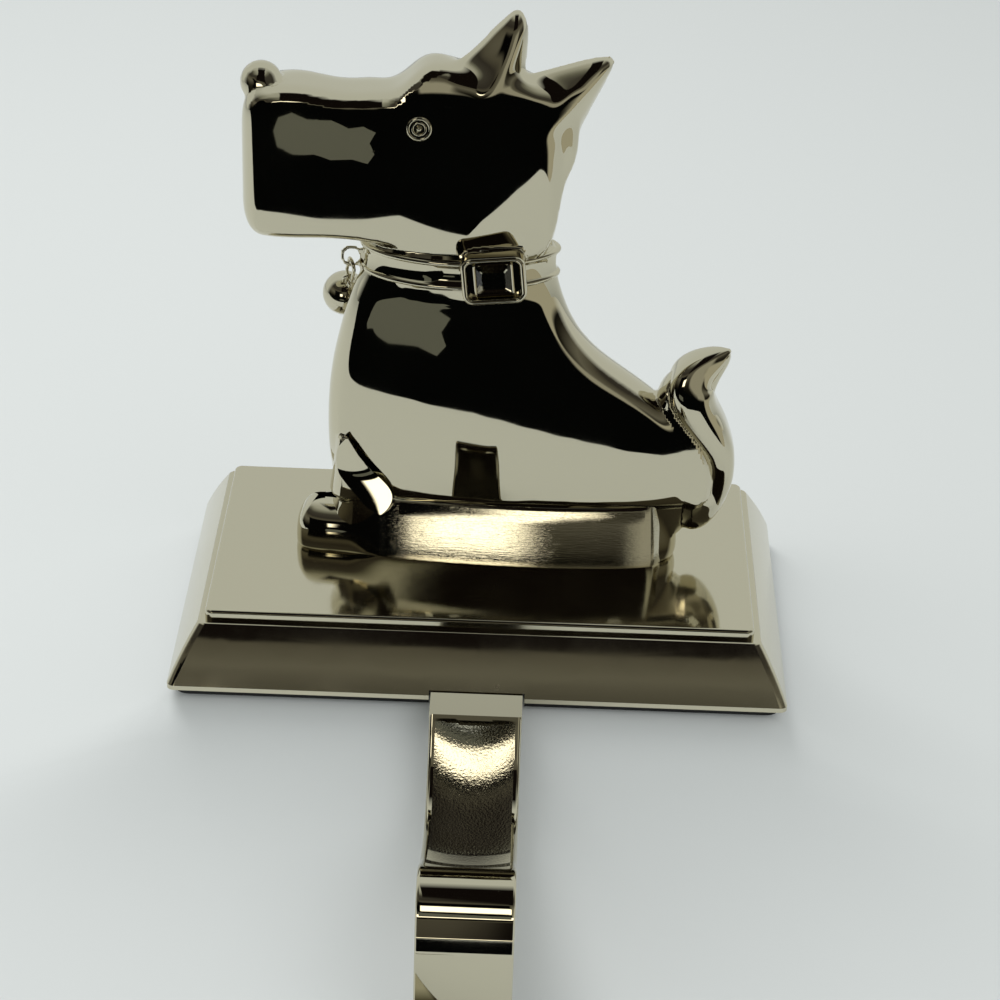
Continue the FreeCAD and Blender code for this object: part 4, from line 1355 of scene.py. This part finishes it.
@dataclass(frozen=True)
class RoomPatch:
    """One soft-edged patch of the room in front, given by ranges of the direction's X and Z.

    Attributes:
        across: Lowest and highest X.
        height: Lowest and highest Z.
        colour: sRGB colour.
        strength: Brightness factor, above 1 for a lamp.
        soft: Softness of the edges.
    """

    across: tuple[float, float]
    height: tuple[float, float]
    colour: str
    strength: float = 1.0
    soft: float = 0.03

    def lay(
        self, tree: bpy.types.NodeTree, split: bpy.types.Node, under: bpy.types.NodeSocket
    ) -> bpy.types.NodeSocket:
        """Lays the patch over a colour.

        Args:
            tree: The world's node tree.
            split: Node with the direction's parts.
            under: Colour below the patch.

        Returns:
            The colour with the patch.
        """
        link = tree.links.new
        share = None
        for part, (low, high) in (("X", self.across), ("Z", self.height)):
            for edge, target in ((low, (0.0, 1.0)), (high, (1.0, 0.0))):
                span = (edge - self.soft, edge + self.soft)
                step = map_range(tree, split.outputs[part], span, target, "SMOOTHSTEP")
                if share is None:
                    share = step
                    continue
                both = add_node(tree, "ShaderNodeMath", operation="MULTIPLY")
                link(share, both.inputs[0])
                link(step, both.inputs[1])
                share = both.outputs["Value"]
        factor, first, second, mixed = mix_colour(tree, "000000", self.colour)
        second.default_value = [c * self.strength for c in srgb(self.colour)[:3]] + [1.0]
        link(share, factor)
        link(under, first)
        return mixed


# Colours of the room in front by height, from straight down to straight up (place is half of Z plus a half).
FRONT_ROOM = [
    (0.0, "050606"), (0.465, "060707"), (0.50, "14130F"), (0.535, "2B2921"), (0.60, "55534A"),
    (0.655, "6E6C61"), (0.727, "5A574C"), (0.77, "3A3732"), (0.86, "4A4842"), (0.90, "7A7B70"),
    (0.953, "B4B6AD"), (1.0, "C2C4BC"),
]
# Dark furniture to the left, a khaki wall to the right, a lamp low in front to the left, the viewer above,
# and a pale wall low on the far right.
ROOM_PATCHES = [
    RoomPatch((-0.75, -0.21), (-0.12, 0.42), "060606"),
    RoomPatch((0.16, 0.62), (-0.06, 0.30), "A6A496", soft=0.06),
    RoomPatch((-0.36, -0.155), (0.06, 0.26), "FFF8E6", strength=2.8, soft=0.018),
    RoomPatch((-0.26, 0.30), (0.455, 1.20), "130F0D", soft=0.012),
    RoomPatch((0.55, 1.3), (-0.85, -0.02), "B7B4A2", soft=0.03),
]


@dataclass
class Stage:
    """Plain pale paper laid over a low rise under the base, the room around it and soft light.

    Attributes:
        floor_z: Height of the paper away from the object.
        near_y: Where the paper ends in front of the base's middle.
        slant: How far that edge runs back for each millimetre along the base, left and right of the middle.
        slant_reach: Places along the base where it stops running back, left and right.
        even_y: Place from which the rows of the paper are straight again.
        rise: Half length and half depth of the level top under the base.
        spread: How far the paper takes to fall in front and on the other sides.
        card_y: Place of the grey card in front.
    """

    floor_z: float = -46.0
    near_y: float = -236.0
    slant: tuple[float, float] = (-0.12, 0.5)
    slant_reach: tuple[float, float] = (-540.0, 130.0)
    even_y: float = -170.0
    rise: tuple[float, float] = (60.0, 35.0)
    spread: tuple[float, float] = (27.0, 70.0)
    card_y: float = -350.0

    def height(self, x: float, y: float) -> float:
        """Gives the paper's height at a place.

        Args:
            x: Place along the base.
            y: Place across it.

        Returns:
            The height in millimetres.
        """
        off_x = max(0.0, abs(x) - self.rise[0])
        off_y = max(0.0, abs(y) - self.rise[1])
        scale_y = self.spread[0] if y < 0 else self.spread[1]
        far = math.hypot(off_x / self.spread[1], off_y / scale_y)
        return -0.06 + (self.floor_z + 0.06) * (1 - math.exp(-far))

    def build(self) -> None:
        """Builds the paper, the reflected room and the lamps."""
        # Matt pale paper: an even ground with a soft shadow, and the bright lower part of each reflection.
        paper = PlainFinish("stage_paper", "CFD2D1", roughness=0.9, grain=0.0).build()
        steps_x = [-1400, -700, -400] + list(range(-260, 261, 5)) + [400, 700, 1400]
        steps_y = list(np.linspace(self.near_y, 260, 110)) + [400, 800, 1600]
        points = []
        for step in steps_y:
            for x in steps_x:
                left, right = max(min(x, 0), self.slant_reach[0]), min(max(x, 0), self.slant_reach[1])
                near = self.near_y + self.slant[0] * left + self.slant[1] * right
                y = step
                if step < self.even_y:
                    y = near + (step - self.near_y) * (self.even_y - near) / (self.even_y - self.near_y)
                points.append((x, y, self.height(x, y)))
        faces = grid_faces(len(steps_y), len(steps_x), False, False)
        sheet = lay_mesh("stage_sheet", points, faces)
        sheet.data.materials.append(paper)
        self._card()
        self._world()
        self._lamp("key", (-0.35, 0.25, 0.9), 0.55, 5.6)
        self._lamp("fill", (0.6, -0.7, 0.8), 0.7, 2.0)

    def _card(self) -> None:
        """Adds the grey thing low in front that the muzzle mirrors as one patch with a torn edge."""
        edge = [
            (-176, -58), (-150, -63), (-120, -60), (-96, -66), (-62, -61), (-40, -64), (-30, -52),
            (-36, -40), (-28, -27), (-44, -21), (-66, -24), (-92, -17), (-128, -21), (-152, -16),
            (-172, -22), (-180, -38),
        ]
        points = [(x, self.card_y, z + PLATEAU_Z) for x, z in edge]
        card = lay_mesh("stage_card", points, [list(range(len(edge)))])
        # Matt grey: the dull patch in the muzzle and the chest.
        card.data.materials.append(PlainFinish("stage_grey", "6F7068", roughness=0.9, grain=0.0).build())
        card.visible_camera = False
        card.visible_shadow = False

    def _lamp(self, name: str, place: Point, size: float, power: float) -> None:
        """Adds a soft square lamp aimed at the object.

        Args:
            name: Lamp name.
            place: Its place in metres.
            size: Its side in metres.
            power: Its power in watts.
        """
        data = bpy.data.lights.new(name, "AREA")
        data.energy = power
        data.size = size
        lamp = bpy.data.objects.new(name, data)
        lamp.location = place
        lamp.rotation_euler = (Vector((0, 0, 0.05)) - Vector(place)).to_track_quat("-Z", "Y").to_euler()
        lamp.visible_glossy = False
        bpy.context.scene.collection.objects.link(lamp)

    def _world(self) -> None:
        """Builds the room that the plate reflects, and the plain pale surround."""
        world = bpy.data.worlds.new("room")
        world.use_nodes = True
        bpy.context.scene.world = world
        tree = world.node_tree
        tree.nodes.clear()
        link = tree.links.new
        out = add_node(tree, "ShaderNodeOutputWorld")
        where = add_node(tree, "ShaderNodeTexCoord")
        split = add_node(tree, "ShaderNodeSeparateXYZ")
        link(where.outputs["Generated"], split.inputs["Vector"])
        front = add_node(tree, "ShaderNodeValToRGB")
        ramp = front.color_ramp
        ramp.elements[0].color = srgb(FRONT_ROOM[0][1])
        ramp.elements[1].color = srgb(FRONT_ROOM[-1][1])
        for place, colour in FRONT_ROOM[1:-1]:
            made = ramp.elements.new(place)
            made.color = srgb(colour)
        height = add_node(tree, "ShaderNodeMath", operation="MULTIPLY_ADD")
        height.inputs[1].default_value = 0.5
        height.inputs[2].default_value = 0.5
        link(split.outputs["Z"], height.inputs[0])
        link(height.outputs["Value"], front.inputs["Fac"])
        seen = front.outputs["Color"]
        for patch in ROOM_PATCHES:
            seen = patch.lay(tree, split, seen)
        share, ahead, _, around = mix_colour(tree, "000000", "D6DAD6")
        link(map_range(tree, split.outputs["Y"], (-0.1, 0.25)), share)
        link(seen, ahead)
        room = add_node(tree, "ShaderNodeBackground", Strength=1.0)
        link(around, room.inputs["Color"])
        plain = add_node(tree, "ShaderNodeBackground", Strength=1.0)
        plain.inputs["Color"].default_value = srgb("D1D4D3")
        path = add_node(tree, "ShaderNodeLightPath")
        pick = add_node(tree, "ShaderNodeMixShader")
        link(path.outputs["Is Glossy Ray"], pick.inputs["Fac"])
        link(plain.outputs["Background"], pick.inputs[1])
        link(room.outputs["Background"], pick.inputs[2])
        link(pick.outputs["Shader"], out.inputs["Surface"])


@dataclass
class ViewCamera:
    """Camera at the photographed viewing angle.

    Attributes:
        place: Camera place in millimetres.
        yaw: Turn to the right in radians.
        pitch: Tilt down in radians.
        roll: Roll in radians.
        focal_px: Focal length for a picture 1000 pixels wide.
        shift: Sideways shift of the picture as a share of its width.
    """

    place: Point = (7.03, -520.5, 326.02)
    yaw: float = -0.00708
    pitch: float = 0.52084
    roll: float = 0.03394
    focal_px: float = 2840.0
    shift: float = -0.001

    def build(self) -> None:
        """Adds the camera and makes it the scene's camera."""
        data = bpy.data.cameras.new("view")
        data.sensor_width = SENSOR_MM
        data.lens = self.focal_px / PHOTO_PX * SENSOR_MM
        data.shift_x = self.shift
        data.clip_start = 0.01
        data.clip_end = 20.0
        forward = leaning(math.sin(self.yaw), math.cos(self.yaw), -math.degrees(self.pitch))
        right = Vector((math.cos(self.yaw), -math.sin(self.yaw), 0))
        up = right.cross(forward)
        c, s = math.cos(self.roll), math.sin(self.roll)
        side, top = right * c + up * s, up * c - right * s
        camera = bpy.data.objects.new("view", data)
        turn = Matrix((side, top, -forward)).transposed().to_4x4()
        camera.matrix_world = Matrix.Translation(Vector(self.place) * MM) @ turn
        bpy.context.scene.collection.objects.link(camera)
        bpy.context.scene.camera = camera


def plain(bounds: tuple[Vector, Vector]) -> list[list[float]]:
    """Turns bounds into plain lists of numbers.

    Args:
        bounds: Lowest and highest corner in metres.

    Returns:
        The two corners, each as three numbers.
    """
    return [[float(value) for value in corner] for corner in bounds]


def main() -> None:
    """Builds the whole scene."""
    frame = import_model()
    nodes = frame["nodes"]
    finishes = (FIGURE_PLATE, FOOT_PLATE, BASE_PLATE, ARM_PLATE, DISH_PLATE, TRIM_PLATE)
    plates = {finish.name: finish.build() for finish in finishes}
    stone, foam, iron, zinc = (f.build() for f in (STONE_GLASS, PAD_FOAM, BALLAST_IRON, SCREW_ZINC))
    CastFigure().build(nodes, plates["figure_plate"])
    Foot().build(plates["figure_plate"], plates["foot_plate"])
    Tail().build(plates["figure_plate"])
    FrontLeg().build(plates["figure_plate"])
    Collar().build(plates["figure_plate"])
    Buckle().build(plates["figure_plate"])
    Eyes().build(plates["figure_plate"])
    HookArm().build(nodes, plates["arm_plate"], plates["dish_plate"])
    Dressing(
        {
            "base_shell": (plates["base_plate"], Slot.BASE),
            "base_pad": (foam, Slot.PAD),
            "base_ballast": (iron, Slot.BALLAST),
            "figure_screws": (zinc, Slot.SCREWS),
            "arm_screws": (zinc, Slot.SCREWS),
            "buckle_stone": (stone, Slot.STONE),
            "charm_long_link": (plates["trim_plate"], Slot.LINKS),
            "charm_short_link": (plates["trim_plate"], Slot.LINKS),
            "charm_ball": (plates["trim_plate"], Slot.BALL),
        }
    ).build(nodes)
    Stage().build()
    ViewCamera().build()
    bpy.context.scene.view_settings.view_transform = "Standard"


if __name__ == "__main__":
    main()
